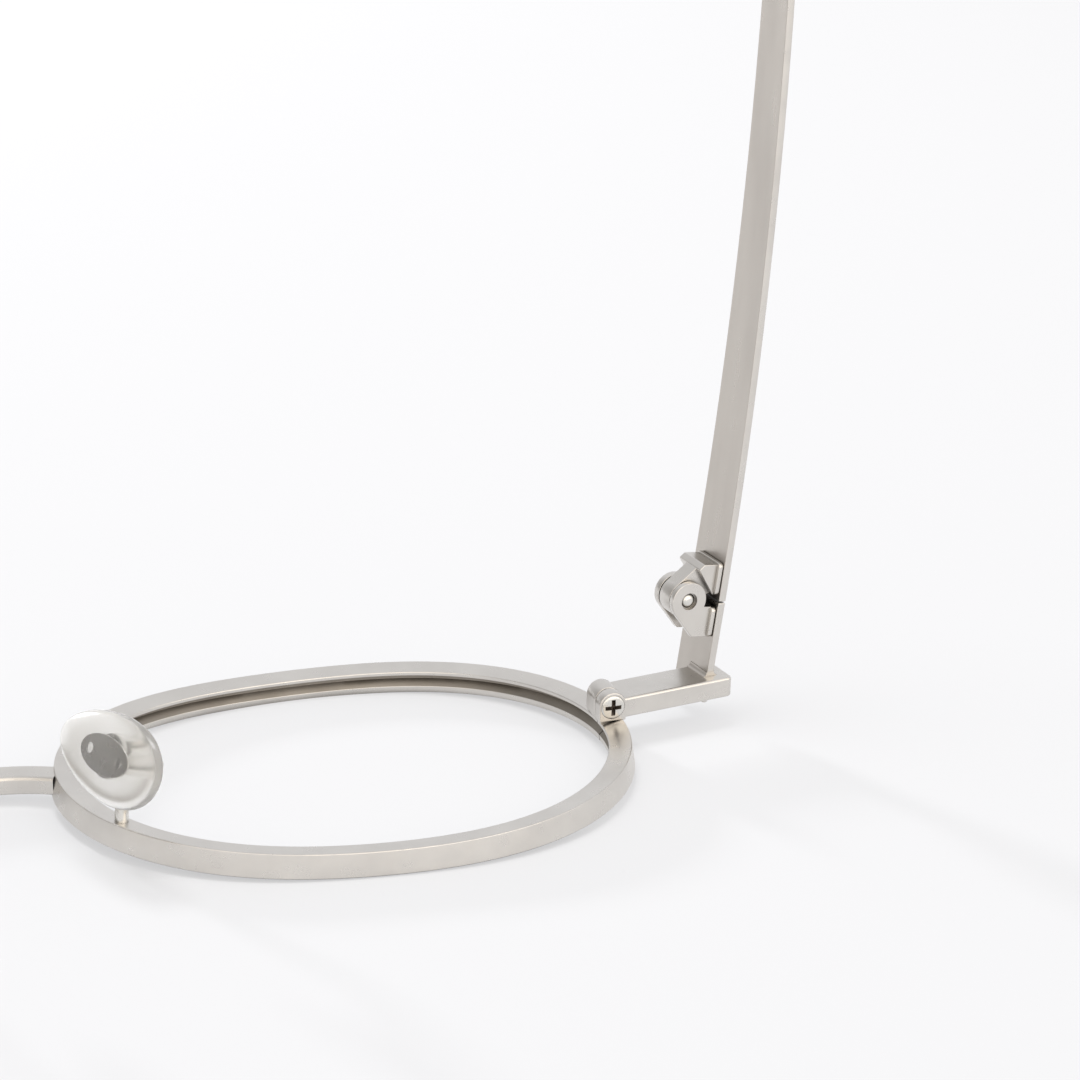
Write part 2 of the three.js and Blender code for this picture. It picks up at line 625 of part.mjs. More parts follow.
// The tip is a rounded sleeve with a pocket for the end of the temple.
function tipSection(s) {
  const part = (s - TIP_FROM) / TIP_LENGTH;
  const growth = Math.sin((Math.PI / 2) * Math.min(part / TIP_BROADEST, 1));
  const swell = TIP_NECK + (TIP_WIDTH - TIP_NECK) * growth;
  const closing = Math.min(Math.max(part - 1 + TIP_ROUND, 0) / TIP_ROUND, 1);
  const end = Math.max(Math.sqrt(1 - closing ** 2), TIP_END);
  const sides = 12;
  return Array.from({ length: sides }, (_, i) => {
    const turn = (2 * Math.PI * (i + 0.5)) / sides;
    const square = (value) => Math.sign(value) * Math.abs(value) ** 0.75;
    const across = (square(Math.sin(turn)) * swell * end) / 2;
    return [across, (square(Math.cos(turn)) * TIP_THICK * end) / 2];
  });
}

function templeTip() {
  const sleeve = loft(templeStations(TIP_FROM, TEMPLE_LENGTH, 24), tipSection);
  const grow = 2 * POCKET_GAP;
  const mouthTo = TIP_FROM + TIP_MOUTH + POCKET_GAP;
  const mouth = () => boxSection(TAPER_WIDTH + grow, STRIP_THICK + grow);
  const pocket = () => boxSection(CORE_WIDTH + grow, STRIP_THICK + grow);
  const coreTo = TEMPLE_LENGTH - CORE_SHORT + POCKET_GAP;
  const entry = loft(templeStations(TIP_FROM - 1, mouthTo, 2), mouth);
  const bore = loft(templeStations(TIP_FROM - 1, coreTo, 26), pocket);
  return cut(sleeve, entry, bore);
}

// ---------------------------------------------------------------- bridge

const HALF_SPACING = (RIM_WIDTH + RIM_GAP) / 2;

// The bridge is an arch between the nose sides of the rims, cut to fit their walls.
function bridge() {
  const end = alongRim(rad(BRIDGE_ANGLE), RIM_THICK / 2 - BRIDGE_ROOT, 0);
  end.x += HALF_SPACING;
  const crown = vec(0, end.y + BRIDGE_RISE, end.z - BRIDGE_BOW);
  const knee = vec(end.x * KNEE_OUT, end.y + BRIDGE_RISE * KNEE_RISE, end.z - BRIDGE_BOW * KNEE_RISE);
  const mirrored = (point) => vec(-point.x, point.y, point.z);
  const route = [mirrored(end), mirrored(knee), crown, knee, end];
  const path = new THREE.CatmullRomCurve3(route);
  const steps = 22;
  const half = BRIDGE_WIDTH / 2;
  const deep = BRIDGE_DEPTH / 2;
  const edge = BRIDGE_EDGE;
  const outline = [
    [half - edge, deep],
    [half, deep - edge],
    [half, -deep + edge],
    [half - edge, -deep],
    [-half + edge, -deep],
    [-half, -deep + edge],
    [-half, deep - edge],
    [-half + edge, deep],
  ];
  const points = path.getSpacedPoints(steps);
  const stations = points.map((place, i) => {
    const along = path.getTangentAt(i / steps);
    const face = vec(0, 0, 1);
    return { s: i, place, face, side: along.clone().cross(face).normalize() };
  });
  const arch = loft(stations, () => outline);
  const walls = [1, -1].map((side) => {
    const wall = solid(rimEnvelope()).translate(HALF_SPACING, 0, 0);
    return side > 0 ? wall : wall.mirror([1, 0, 0]);
  });
  const pieces = walls.reduce((body, wall) => body.subtract(wall), solid(arch)).decompose();
  return meshOf(pieces.reduce((best, piece) => (piece.volume() > best.volume() ? piece : best)));
}

// ---------------------------------------------------------------- nose pads

const NOSE_SIDE = alongRim(rad(ARM_ANGLE), RIM_THICK / 2, 0);
const PAD_SCREW_AT = vec(NOSE_SIDE.x + PAD_OUTWARD, NOSE_SIDE.y - PAD_DOWN, NOSE_SIDE.z + PAD_BACK);

// A piece modelled about the pad's screw: x away from the nose, y along the pad, z along the screw.
function padPlaced(geometry) {
  const turned = geometry.rotateY(rad(PAD_SPLAY)).rotateZ(rad(PAD_FRONTAL));
  return turned.translate(PAD_SCREW_AT.x, PAD_SCREW_AT.y, PAD_SCREW_AT.z);
}

function nosePad() {
  const body = new THREE.SphereGeometry(0.5, 20, 12).scale(2 * PAD_THICK, PAD_LENGTH, PAD_WIDTH);
  const back = -PAD_STANDOFF - PAD_PLATE;
  body.translate(back - PAD_THICK * PAD_BELLY, 0, 0);
  const behind = block(vec(back, -PAD_LENGTH, -PAD_WIDTH), vec(PAD_LENGTH, PAD_LENGTH, PAD_WIDTH));
  return padPlaced(cut(body, behind));
}

function padPlate() {
  const plate = new THREE.CylinderGeometry(PAD_PLATE_D / 2, PAD_PLATE_D / 2, PAD_PLATE - BRAZE_GAP, 24);
  plate.rotateZ(Math.PI / 2).translate(-PAD_STANDOFF - (PAD_PLATE - BRAZE_GAP) / 2, 0, 0);
  const tabEnd = PAD_SCREW_D / 2 + PAD_TAB_WALL;
  const tab = block(vec(-PAD_STANDOFF - 0.1, -tabEnd, -PAD_TAB / 2), vec(tabEnd, tabEnd, PAD_TAB / 2));
  return padPlaced(cut(join(plate, tab), alongZ(PAD_SCREW_D + 2 * RUNNING_GAP, -2, 2)));
}

function alongZ(diameter, from, to, sides = 20) {
  const shaft = new THREE.CylinderGeometry(diameter / 2, diameter / 2, to - from, sides);
  return shaft.rotateX(Math.PI / 2).translate(0, 0, (from + to) / 2);
}

const BOX_HALF = PAD_TAB / 2 + RUNNING_GAP + BOX_WALL; // of the box along the screw
const BOX_BACK = PAD_SCREW_D / 2 + PAD_TAB_WALL + PAD_TAB_PLAY; // inside of its base from the screw

function padBox() {
  const half = BOX_SIZE / 2;
  const outer = block(vec(-BOX_REACH, -half, -BOX_HALF), vec(BOX_BACK + BOX_WALL, half, BOX_HALF));
  const gap = BOX_HALF - BOX_WALL;
  const inner = block(vec(-2 * BOX_REACH, -half - 1, -gap), vec(BOX_BACK, half + 1, gap));
  return padPlaced(cut(outer, inner, alongZ(PAD_SCREW_D + 2 * BRAZE_GAP, -3, 3)));
}

function padScrew() {
  const shank = alongZ(PAD_SCREW_D, -BOX_HALF - PAD_SCREW_PROUD, BOX_HALF + PAD_SCREW_HEAD / 2);
  const head = alongZ(PAD_SCREW_HEAD_D, BOX_HALF + BRAZE_GAP, BOX_HALF + PAD_SCREW_HEAD, 24);
  const slotFrom = BOX_HALF + PAD_SCREW_HEAD - PAD_SLOT_DEPTH;
  const long = PAD_SCREW_HEAD_D;
  const slot = block(vec(-PAD_SLOT / 2, -long, slotFrom), vec(PAD_SLOT / 2, long, slotFrom + 1));
  return padPlaced(cut(join(shank, head), slot));
}

// The arm leaves the back of the rim, loops behind it and comes down on the base of the box.
function padArm() {
  const foot = alongRim(rad(ARM_ANGLE), 0, RIM_DEPTH / 2 + BRAZE_GAP + ARM_D * 0.2);
  const away = vec(1, 0, 0).applyAxisAngle(vec(0, 1, 0), rad(PAD_SPLAY));
  away.applyAxisAngle(vec(0, 0, 1), rad(PAD_FRONTAL));
  const end = PAD_SCREW_AT.clone().addScaledVector(away, BOX_BACK + BOX_WALL + BRAZE_GAP);
  const near = end.clone().addScaledVector(away, ARM_STUB);
  const rise = foot.clone().add(vec(ARM_BOW / 3, 0, ARM_STUB));
  const loop = vec((rise.x + near.x) / 2 + ARM_BOW, (rise.y + near.y) / 2, foot.z + ARM_RISE);
  const path = new THREE.CatmullRomCurve3([foot, rise, loop, near, end]);
  const wire = new THREE.Shape().absarc(0, 0, ARM_D / 2, 0, 2 * Math.PI, false);
  const arm = new THREE.ExtrudeGeometry(wire, { steps: 18, curveSegments: 5, extrudePath: path });
  return cut(arm, rimEnvelope());
}

// ---------------------------------------------------------------- assembly

const spectacles = new THREE.Group();

function add(parent, name, geometry, material) {
  const mesh = new THREE.Mesh(geometry, material);
  mesh.name = name;
  parent.add(mesh);
}

for (const side of ["right", "left"]) {
  const half = new THREE.Group();
  add(half, `rim_${side}`, rim(), SATIN_NICKEL);
  add(half, `rim_lock_lower_${side}`, lockLower(), SATIN_NICKEL);
  add(half, `rim_lock_upper_${side}`, lockUpper(), SATIN_NICKEL);
  add(half, `rim_lock_screw_${side}`, lockScrew(), BRIGHT_STEEL);
  add(half, `end_piece_${side}`, endPiece(), SATIN_NICKEL);
  add(half, `hinge_leg_${side}`, hingeLeg(), BRUSHED_TEMPLE);
  add(half, `front_hinge_leaf_${side}`, frontLeaf(), SATIN_NICKEL);
  add(half, `hinge_screw_${side}`, hingePin(), BRIGHT_STEEL);
  add(half, `temple_hinge_leaf_${side}`, templeLeaf(), SATIN_NICKEL);
  add(half, `temple_${side}`, temple(), BRUSHED_TEMPLE);
  add(half, `temple_tip_${side}`, templeTip(), TIP_ACETATE);
  add(half, `pad_arm_${side}`, padArm(), BRIGHT_STEEL);
  add(half, `pad_box_${side}`, padBox(), BRIGHT_STEEL);
  add(half, `pad_screw_${side}`, padScrew(), BRIGHT_STEEL);
  add(half, `pad_plate_${side}`, padPlate(), BRIGHT_STEEL);
  add(half, `nose_pad_${side}`, nosePad(), PAD_SILICONE);
  const mirror = side === "left" ? -1 : 1;
  half.position.x = mirror * HALF_SPACING;
  half.scale.x = mirror;
  spectacles.add(half);
}
add(spectacles, "bridge", bridge(), SATIN_NICKEL);

// Stand the model on z = 0 with the middle of its footprint at the origin.
const extent = new THREE.Box3().setFromObject(spectacles, true);
spectacles.position.set(0, -(extent.min.y + extent.max.y) / 2, -extent.min.z);

export default spectacles;
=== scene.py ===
"""Looks of a satin-nickel spectacle frame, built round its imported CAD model. Metres, +Z up.

Fine pieces are drawn in millimetres for the wearer's right half, about the middle of its rim, and
are mirrored for the left half. Each one stands where the CAD node that it replaces stands.
"""

import json
import math

import bmesh
import bpy
from mathutils import Matrix, Vector


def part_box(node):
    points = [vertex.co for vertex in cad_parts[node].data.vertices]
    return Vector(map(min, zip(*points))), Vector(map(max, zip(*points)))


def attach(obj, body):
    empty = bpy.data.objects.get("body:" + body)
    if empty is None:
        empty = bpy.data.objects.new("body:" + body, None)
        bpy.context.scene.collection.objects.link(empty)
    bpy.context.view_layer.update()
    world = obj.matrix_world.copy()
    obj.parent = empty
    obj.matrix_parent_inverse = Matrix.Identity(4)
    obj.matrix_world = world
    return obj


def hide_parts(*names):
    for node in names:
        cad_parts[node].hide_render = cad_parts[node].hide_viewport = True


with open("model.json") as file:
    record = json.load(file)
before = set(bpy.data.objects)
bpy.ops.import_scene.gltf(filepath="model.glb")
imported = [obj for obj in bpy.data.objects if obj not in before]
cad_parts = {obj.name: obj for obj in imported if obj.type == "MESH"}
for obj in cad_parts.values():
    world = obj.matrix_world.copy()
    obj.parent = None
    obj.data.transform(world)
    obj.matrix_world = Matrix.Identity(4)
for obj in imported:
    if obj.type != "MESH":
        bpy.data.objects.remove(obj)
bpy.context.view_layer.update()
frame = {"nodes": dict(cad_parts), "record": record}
NODES = frame["nodes"]
JOINTS = {joint["name"]: joint for joint in frame["record"]["behaviour"]["joints"]}
MM = 0.001
SIDES = {"right": 1, "left": -1}

# ---------------------------------------------------------------- sizes, in millimetres and radians

RIM_WIDTH = 49.9
RIM_HEIGHT = 38.7
RIM_SKEW = 1.21
RIM_EGG = 0.27
BASE_CURVE = 151
RIM_THICK = 2.03
RIM_DEPTH = 2.16
RIM_ROUND = 0.11
GROOVE_WIDTH = 1.16
GROOVE_DEPTH = 0.74
GROOVE_ROOT = 0.82
GROOVE_FLAT = 0.56
GROOVE_BACK = 0.14
RIM_STATIONS = 300

# Which faces count as inside the groove and the recess, a little within their edges, for the darker
# metals that paint shade in them.
GROOVE_SKIN = 0.06
GROOVE_REACH = 0.6
RECESS_SKIN = 0.07
PATCH_SHARE = 0.97

# How far a cutting shell runs past the face that it cuts.
OVERRUN = 1

LOCK_ANGLE = math.radians(-8.9)
LOCK_TURN = math.radians(-9)
LOCK_WIDTH = 2.5
LOCK_HEIGHT = 2.8
LOCK_LOWER = 1.2
LOCK_UPPER = 2.1
LOCK_SEAM = 0.12
LOCK_SUNK = 0.14
LOCK_LIFT = 0.09
LOCK_UNDERCUT = 0.22
LOCK_ROUND = 0.1
LOCK_FOOT_IN = 0.3
LOCK_HEAD_D = 2.2
LOCK_HEAD_GAP = 0.006
LOCK_HEAD_SUNK = 0.5
LOCK_HEAD_PROUD = 0.16
LOCK_SCREW_D = 1.2
LOCK_SCREW_DROP = 1.36
LOCK_HEAD_PLAY = 0.04
# Shares of the head's radius, along its dome.
LOCK_DOME = (0.3, 0.5, 0.7, 0.82, 0.9)
RECESS_SPAN = 1.56
RECESS_SLOT = 0.38
RECESS_DEPTH = 0.5
# Depths in the recess, each with its share of the span.
RECESS_TAPER = ((-0.5, 1.2), (0, 1.0), (RECESS_DEPTH, 0.45))

BAR_WIDTH = 3.94
BAR_CORNER = 0.55
BAR_ROUND = 0.24

LEAN = math.radians(7.9)
STRIP_WIDTH = 5.12
STRIP_THICK = 0.72
STRIP_ROUND = 0.1
STRIP_INSET = 1.5
LEG_FLARE = 0.42
LEG_FILLET = 0.42
LEG_DROP = 1.5
LEG_SINK = 0.55
LEG_CORNER = 0.3
LEG_BESIDE_BAR = 0.05
BRAZE_ROOT = 0.4
BRAZE_OVER = 0.03
BRAZE_SHORT = 0.02
PEG_D = 0.8
PEG_PROUD = 0.74
PEG_INSET = 0.42
PEG_INWARD = 0.1
# Shares of the peg's radius, each with how far short of the end it lies.
PEG_TIP = ((0.92, 0.3), (0.75, 0.08), (0.45, 0))

HINGE_SHIFT = -0.42
KNUCKLE_R = 1.75
KNUCKLE_TO_STRIP = 1.05
KNUCKLE_NEAR = 0.6
KNUCKLE_MIDDLE = 1.7
KNUCKLE_FAR = 0.75
RUNNING_GAP = 0.06
FAR_GAP = 0.16
LEAF_LENGTH = 2.86
LEAF_PLATE = 0.46
LEAF_MARGIN = 0.35
LEAF_DROP = 0.54
LEAF_HEEL = 0.82
LEAF_ROUND = 0.06
LEAF_OFF_STRIP = 0.03
LEAF_JOIN = 0.2
PLATE_CORNER = 0.42
PLATE_ROUND = 0.1
SPLIT_LIFT = 0.08
SPLIT_GAP = 0.14
TEMPLE_LEAF_LIFT = 0.6
TEMPLE_LEAF_RISE = 1.68
TEMPLE_LEAF_LIP = 0.22
SHOULDER = 0.49
SHOULDER_CORNER = 0.14
BLOCK_CORNER = 0.16
BLOCK_ROUND = 0.07
# Where the arm's outline leaves and meets the knuckle's circle, in degrees.
ARM_LEAVES = 128
ARM_MEETS = 368
BROW_X = 1.02
PIN_D = 1.26
PIN_PLAY = 0.1
PIN_MOUTH_D = 1.6
PIN_HEAD_D = 2.3
PIN_HEAD = 0.4
PIN_SUNK = 0.16
PIN_PROUD = 0.1
# Shares of the pin's radius, along its domed end.
PIN_TIP = (0.15, 0.4, 0.6, 0.75, 0.87, 0.95, 1)
PIN_SLOT_HALF = 0.21
PIN_SLOT_DEPTH = 0.22

TEMPLE_LENGTH = 142
TEMPLE_BOW = 490
TEMPLE_STEP = 0.25
TEMPLE_END_ROUND = 0.05
TIP_LENGTH = 57
TAPER_WIDTH = 3.5
CORE_WIDTH = 2.1
CORE_SHORT = 6
EAR_START = 42
EAR_RADIUS = 24
EAR_DROP = math.radians(38)
TIP_WIDTH = 5.6
TIP_NECK = 4.2
TIP_THICK = 2.6
TIP_FULL = 0.8
TIP_CLOSING = 0.05
TIP_ROLL = 0.5
TIP_LEAST = 0.12
TIP_SQUARE = 0.78

BRIDGE_ANGLE = math.radians(166)
BRIDGE_RISE = 3.4
BRIDGE_BOW = 0.35
BRIDGE_WIDTH = 2.5
BRIDGE_DEPTH = 1.7
BRIDGE_IN = 0.5
BRIDGE_ROUND = 0.35
BRIDGE_FLATNESS = 2.6
BRIDGE_STATIONS = 64

ARM_ANGLE = math.radians(193)
ARM_D = 1.15
ARM_RISE = 4.4
ARM_STUB = 1.5
ARM_BOW = 0.9
ARM_IN = 0.05
PAD_SPLAY = math.radians(24)
PAD_FRONTAL = math.radians(14)
PAD_LENGTH = 13.4
PAD_WIDTH = 7.4
PAD_STANDOFF = 1.15
PAD_PLATE = 0.4
PAD_SCREW_D = 0.9
PAD_WAIST = 0.16
PAD_INSET = 0.96
# Shares of the pad's outline, each with its depth from the flat back.
PAD_LEVELS = (
    (0.90, 0.0), (0.96, -0.04), (1.0, -0.2), (1.0, -0.42), (0.975, -0.62), (0.93, -0.8),
    (0.85, -0.98), (0.74, -1.15), (0.6, -1.3), (0.44, -1.41), (0.28, -1.49), (0.12, -1.53),
)
INSERT_HALF = (1.5, 3.1)
INSERT_BEHIND = 0.5
INSERT_THICK = 0.28
INSERT_ROUND = 0.05
INSERT_HOLE_D = 0.84
INSERT_HOLE_AT = 1.9
BOX_WALL = 0.45
BOX_PLAY = 0.57

# Angles for the CAD nodes that stay: what counts as flat, and as an edge to round.
SOFT_FLAT = math.radians(0.2)
SOFT_ANGLE = math.radians(28)

# ---------------------------------------------------------------- finish of the metal

# Noise scales, per metre.
CLOUDS, GLOSS, BEADS, DENTS = 260, 700, 6000, 1300
BEAD_BUMP = 0.000003
DENT_BUMP = 0.000004
HAMMERED_BUMP = 0.00006
# Painted shade: in crevices and corners, where occlusion finds other surfaces within this reach, each
# metal's colour is darkened towards the colour below.
CREVICE_REACH = 1.8 * MM
CREVICE_BAND = (0.1, 0.62)
CREVICE_SAMPLES = 8
CREVICE_SHADE = (0.055, 0.046, 0.04)
# Darker and lighter clouding of each metal.
SATIN_COLOURS = (0.62, 0.595, 0.562), (0.675, 0.65, 0.613)
STRIP_COLOURS = (0.51, 0.476, 0.438), (0.565, 0.53, 0.487)
# The groove's colours are much darker: partly duller unplated metal, partly painted shade where the lips
# shade the groove.
GROOVE_SHADE_COLOURS = (0.27, 0.245, 0.214), (0.32, 0.292, 0.256)
STEEL_COLOURS = (0.66, 0.645, 0.61), (0.74, 0.725, 0.69)


# ---------------------------------------------------------------- node materials


def mixed(tree, factor, under, over):
    """A blend of two colours, each of them given as numbers or as another node's output."""
    node = tree.nodes.new("ShaderNodeMix")
    node.data_type = "RGBA"
    tree.links.new(factor, node.inputs["Factor"])
    for socket, colour in ((node.inputs[6], under), (node.inputs[7], over)):
        if isinstance(colour, tuple):
            socket.default_value = (*colour, 1)
        else:
            tree.links.new(colour, socket)
    return node.outputs[2]


class Shader:
    """A new material with a Principled surface, and short ways to wire nodes into it."""

    def __init__(self, name):
        self.material = bpy.data.materials.new(name)
        self.material.use_nodes = True
        self.tree = self.material.node_tree
        self.surface = self.tree.nodes["Principled BSDF"]
        coords = self.add("ShaderNodeTexCoord")
        self.place = coords.outputs["Object"]

    def add(self, kind, **settings):
        node = self.tree.nodes.new(kind)
        for key, value in settings.items():
            setattr(node, key, value)
        return node

    def link(self, source, target):
        self.tree.links.new(source, target)

    def set(self, **values):
        for key, value in values.items():
            self.surface.inputs[key.replace("_", " ")].default_value = value

    def stretched(self, scale):
        mapping = self.add("ShaderNodeMapping")
        mapping.inputs["Scale"].default_value = scale
        self.link(self.place, mapping.inputs["Vector"])
        return mapping.outputs["Vector"]

    def noise(self, scale, detail, stretch=(1, 1, 1)):
        node = self.add("ShaderNodeTexNoise")
        node.inputs["Scale"].default_value = scale
        node.inputs["Detail"].default_value = detail
        self.link(self.stretched(stretch), node.inputs["Vector"])
        return node.outputs["Fac"]

    def band(self, source, low, high, from_low=0.3, from_high=0.7):
        node = self.add("ShaderNodeMapRange")
        node.inputs["From Min"].default_value = from_low
        node.inputs["From Max"].default_value = from_high
        node.inputs["To Min"].default_value = low
        node.inputs["To Max"].default_value = high
        self.link(source, node.inputs["Value"])
        return node.outputs["Result"]

    def mix(self, factor, under, over):
        return mixed(self.tree, factor, under, over)

    def bump(self, height, distance, strength, after=None):
        node = self.add("ShaderNodeBump")
        node.inputs["Distance"].default_value = distance
        node.inputs["Strength"].default_value = strength
        self.link(height, node.inputs["Height"])
        if after is not None:
            self.link(after, node.inputs["Normal"])
        return node.outputs["Normal"]


def nickel(name, colours, rough, grain=(1, 1, 1), dent=DENT_BUMP):
    """Bead-blasted nickel: a fine even grain, faint clouding, and painted shade darkening its crevices.
    """
    made = Shader(name)
    made.set(Metallic=1.0, IOR=1.5)
    clouds = made.band(made.noise(CLOUDS, 4, grain), 0, 1)
    plating = made.mix(clouds, *colours)
    # Painted shade: the colour darkens where nearby surfaces close in, as shade would fall there.
    open_sky = made.add("ShaderNodeAmbientOcclusion", samples=CREVICE_SAMPLES)
    open_sky.inputs["Distance"].default_value = CREVICE_REACH
    unshaded = made.band(open_sky.outputs["AO"], 0, 1, *CREVICE_BAND)
    made.link(made.mix(unshaded, CREVICE_SHADE, plating), made.surface.inputs["Base Color"])
    made.link(made.band(made.noise(GLOSS, 3, grain), *rough), made.surface.inputs["Roughness"])
    beads = made.bump(made.noise(BEADS, 2, grain), BEAD_BUMP, 0.5)
    dents = made.bump(made.noise(DENTS, 2), dent, 0.35, after=beads)
    made.link(dents, made.surface.inputs["Normal"])
    return made.material


SATIN = nickel("satin_nickel", SATIN_COLOURS, (0.26, 0.34))
STRIP = nickel("brushed_strip", STRIP_COLOURS, (0.27, 0.35), grain=(1, 1, 0.2))
# Painted shade, partly duller metal: the lens groove's faces take this darker nickel.
GROOVE = nickel("groove_shaded_nickel", GROOVE_SHADE_COLOURS, (0.34, 0.44))
PEENED = nickel("peened_steel", STEEL_COLOURS, (0.2, 0.3), dent=HAMMERED_BUMP)
STEEL = nickel("bright_steel", STEEL_COLOURS, (0.2, 0.3))


def recess_metal():
    """The bottom of a screw's recess in painted shade: dark, mottled metal where shade falls in the
    recess.
    """
    made = Shader("recess_shadow")
    made.set(Metallic=0.6)
    mottle = made.band(made.noise(3000, 3), 0, 1)
    shaded = made.mix(mottle, (0.03, 0.022, 0.017), (0.13, 0.105, 0.085))
    made.link(shaded, made.surface.inputs["Base Color"])
    made.link(made.band(made.noise(5000, 2), 0.45, 0.7), made.surface.inputs["Roughness"])
    return made.material


def acetate():
    """Dark brown acetate: slow streaks of lighter brown under a soft gloss."""
    made = Shader("tip_acetate")
    made.set(Roughness=0.22, Coat_Weight=0.3, Coat_Roughness=0.1, IOR=1.49)
    streaks = made.band(made.noise(160, 5, (1, 1, 0.35)), 0, 1, 0.42, 0.66)
    colour = made.mix(streaks, (0.017, 0.008, 0.005), (0.07, 0.028, 0.011))
    made.link(colour, made.surface.inputs["Base Color"])
    made.link(made.bump(made.noise(420, 2), 0.00001, 0.4), made.surface.inputs["Normal"])
    return made.material


def silicone():
    """Clear silicone with a faint haze."""
    made = Shader("pad_silicone")
    made.set(Transmission_Weight=0.85, IOR=1.41, Roughness=0.16)
    haze = made.band(made.noise(300, 3), 0, 1)
    clear = made.mix(haze, (0.90, 0.89, 0.86), (0.97, 0.965, 0.95))
    made.link(clear, made.surface.inputs["Base Color"])
    made.link(made.bump(made.noise(900, 2), 0.00001, 0.3), made.surface.inputs["Normal"])
    return made.material


RECESS = recess_metal()
ACETATE = acetate()
SILICONE = silicone()


# ---------------------------------------------------------------- outlines and shells, in millimetres


def rounded(*corners, steps=5):
    """A closed outline from corners (x, y, radius), with an arc of that radius at each."""
    outline = []
    for i, (x, y, radius) in enumerate(corners):
        corner = Vector((x, y))
        if not radius:
            outline.append(corner)
            continue
        back = (Vector(corners[i - 1][:2]) - corner).normalized()
        on = (Vector(corners[(i + 1) % len(corners)][:2]) - corner).normalized()
        half = back.angle(on) / 2
        centre = corner + (back + on).normalized() * radius / math.sin(half)
        start = (corner + back * radius / math.tan(half) - centre).normalized()
        end = (corner + on * radius / math.tan(half) - centre).normalized()
        outline += [centre + start.slerp(end, k / steps) * radius for k in range(steps + 1)]
    return outline


def arc(radius, start, end, steps, centre=(0, 0)):
    """Points of an arc, from one angle to another in degrees."""
    turns = [math.radians(start + (end - start) * k / steps) for k in range(steps + 1)]
    return [Vector(centre) + Vector((math.cos(turn), math.sin(turn))) * radius for turn in turns]


def direction(points, k):
    """Which way a line of points runs at one of them."""
    return (points[min(k + 1, len(points) - 1)] - points[max(k - 1, 0)]).normalized()


def circle(radius, steps, centre=(0, 0)):
    """Points all round a circle, without the first one again."""
    return arc(radius, 0, 360 * (1 - 1 / steps), steps - 1, centre)


def quarter(steps=5):
    """Angles from nothing to a right angle."""
    return [math.pi / 2 * k / steps for k in range(steps + 1)]


def inset(outline, depth):
    """An anticlockwise outline, moved inwards by a depth."""
    moved = []
    for i, point in enumerate(outline):
        back = (point - outline[i - 1]).normalized()
        on = (outline[(i + 1) % len(outline)] - point).normalized()
        mitre = Vector((-back.y - on.y, back.x + on.x)) / (1 + back.dot(on))
        moved.append(point + mitre * depth)
    return moved


def loft(rings, around=False):
    """A closed shell over rings of points: its ends are capped, or joined when it goes around."""
    count = len(rings[0])
    points = [point for ring in rings for point in ring]
    faces = []
    for i in range(len(rings) if around else len(rings) - 1):
        here, there = i * count, (i + 1) % len(rings) * count
        for k in range(count):
            after = (k + 1) % count
            faces.append((here + k, here + after, there + after, there + k))
    if not around:
        faces.append(tuple(reversed(range(count))))
        faces.append(tuple(range(len(points) - count, len(points))))
    return points, faces


def prism(outline, low, high, edge=0.0, steps=3):
    """An outline in (x, z), pushed along y, with its two rims rounded."""
    turns = quarter(steps) if edge else [math.pi / 2]
    near = [(edge * (1 - math.sin(turn)), low + edge * (1 - math.cos(turn))) for turn in turns]
    far = [(depth, low + high - y) for depth, y in reversed(near)]
    return loft([[Vector((p.x, y, p.y)) for p in inset(outline, depth)] for depth, y in near + far])


def lathe(profile, steps=48, centre=(0, 0)):
    """A turned shell about the y axis, from a profile of (radius, y) points."""
    rings = []
    for radius, y in profile:
        rings.append([Vector((p.x, y, p.y)) for p in circle(radius, steps, centre)])
    return loft(rings)


def bore(diameter, low, high, steps=40, centre=(0, 0)):
    """A plain cylinder about the y axis, for a hole."""
    return lathe([(diameter / 2, low), (diameter / 2, high)], steps, centre)


def turned(shell, place):
    """A shell whose points are moved by a function."""
    points, faces = shell
    return [place(point) for point in points], faces


def as_mesh(name, points, faces, weld=0.0):
    """A mesh with its faces turned outwards, and its points merged within the weld's distance."""
    mesh = bpy.data.meshes.new(name)
    mesh.from_pydata(points, [], faces)
    form = bmesh.new()
    form.from_mesh(mesh)
    if weld:
        bmesh.ops.remove_doubles(form, verts=form.verts, dist=weld)
    bmesh.ops.recalc_face_normals(form, faces=form.faces)
    form.to_mesh(mesh)
    form.free()
    return mesh


def as_object(name, data):
    """A new object in the scene, for a mesh, a camera or a light."""
    made = bpy.data.objects.new(name, data)
    bpy.context.scene.collection.objects.link(made)
    return made


def combined(shell, operation, *others):
    """A shell with others joined to it or cut from it."""
    body, *tools = [as_object("shell", as_mesh("shell", *one)) for one in (shell, *others)]
    for tool in tools:
        step = body.modifiers.new("step", "BOOLEAN")
        step.operation = operation
        step.solver = "EXACT"
        step.object = tool
    graph = bpy.context.evaluated_depsgraph_get()
    result = bpy.data.meshes.new_from_object(body.evaluated_get(graph))
    points = [vertex.co.copy() for vertex in result.vertices]
    faces = [tuple(face.vertices) for face in result.polygons]
    for temporary in (body, *tools):
        bpy.data.objects.remove(temporary)
    return points, faces


def cut(shell, *others):
    return combined(shell, "DIFFERENCE", *others)


def join(shell, *others):
    return combined(shell, "UNION", *others)


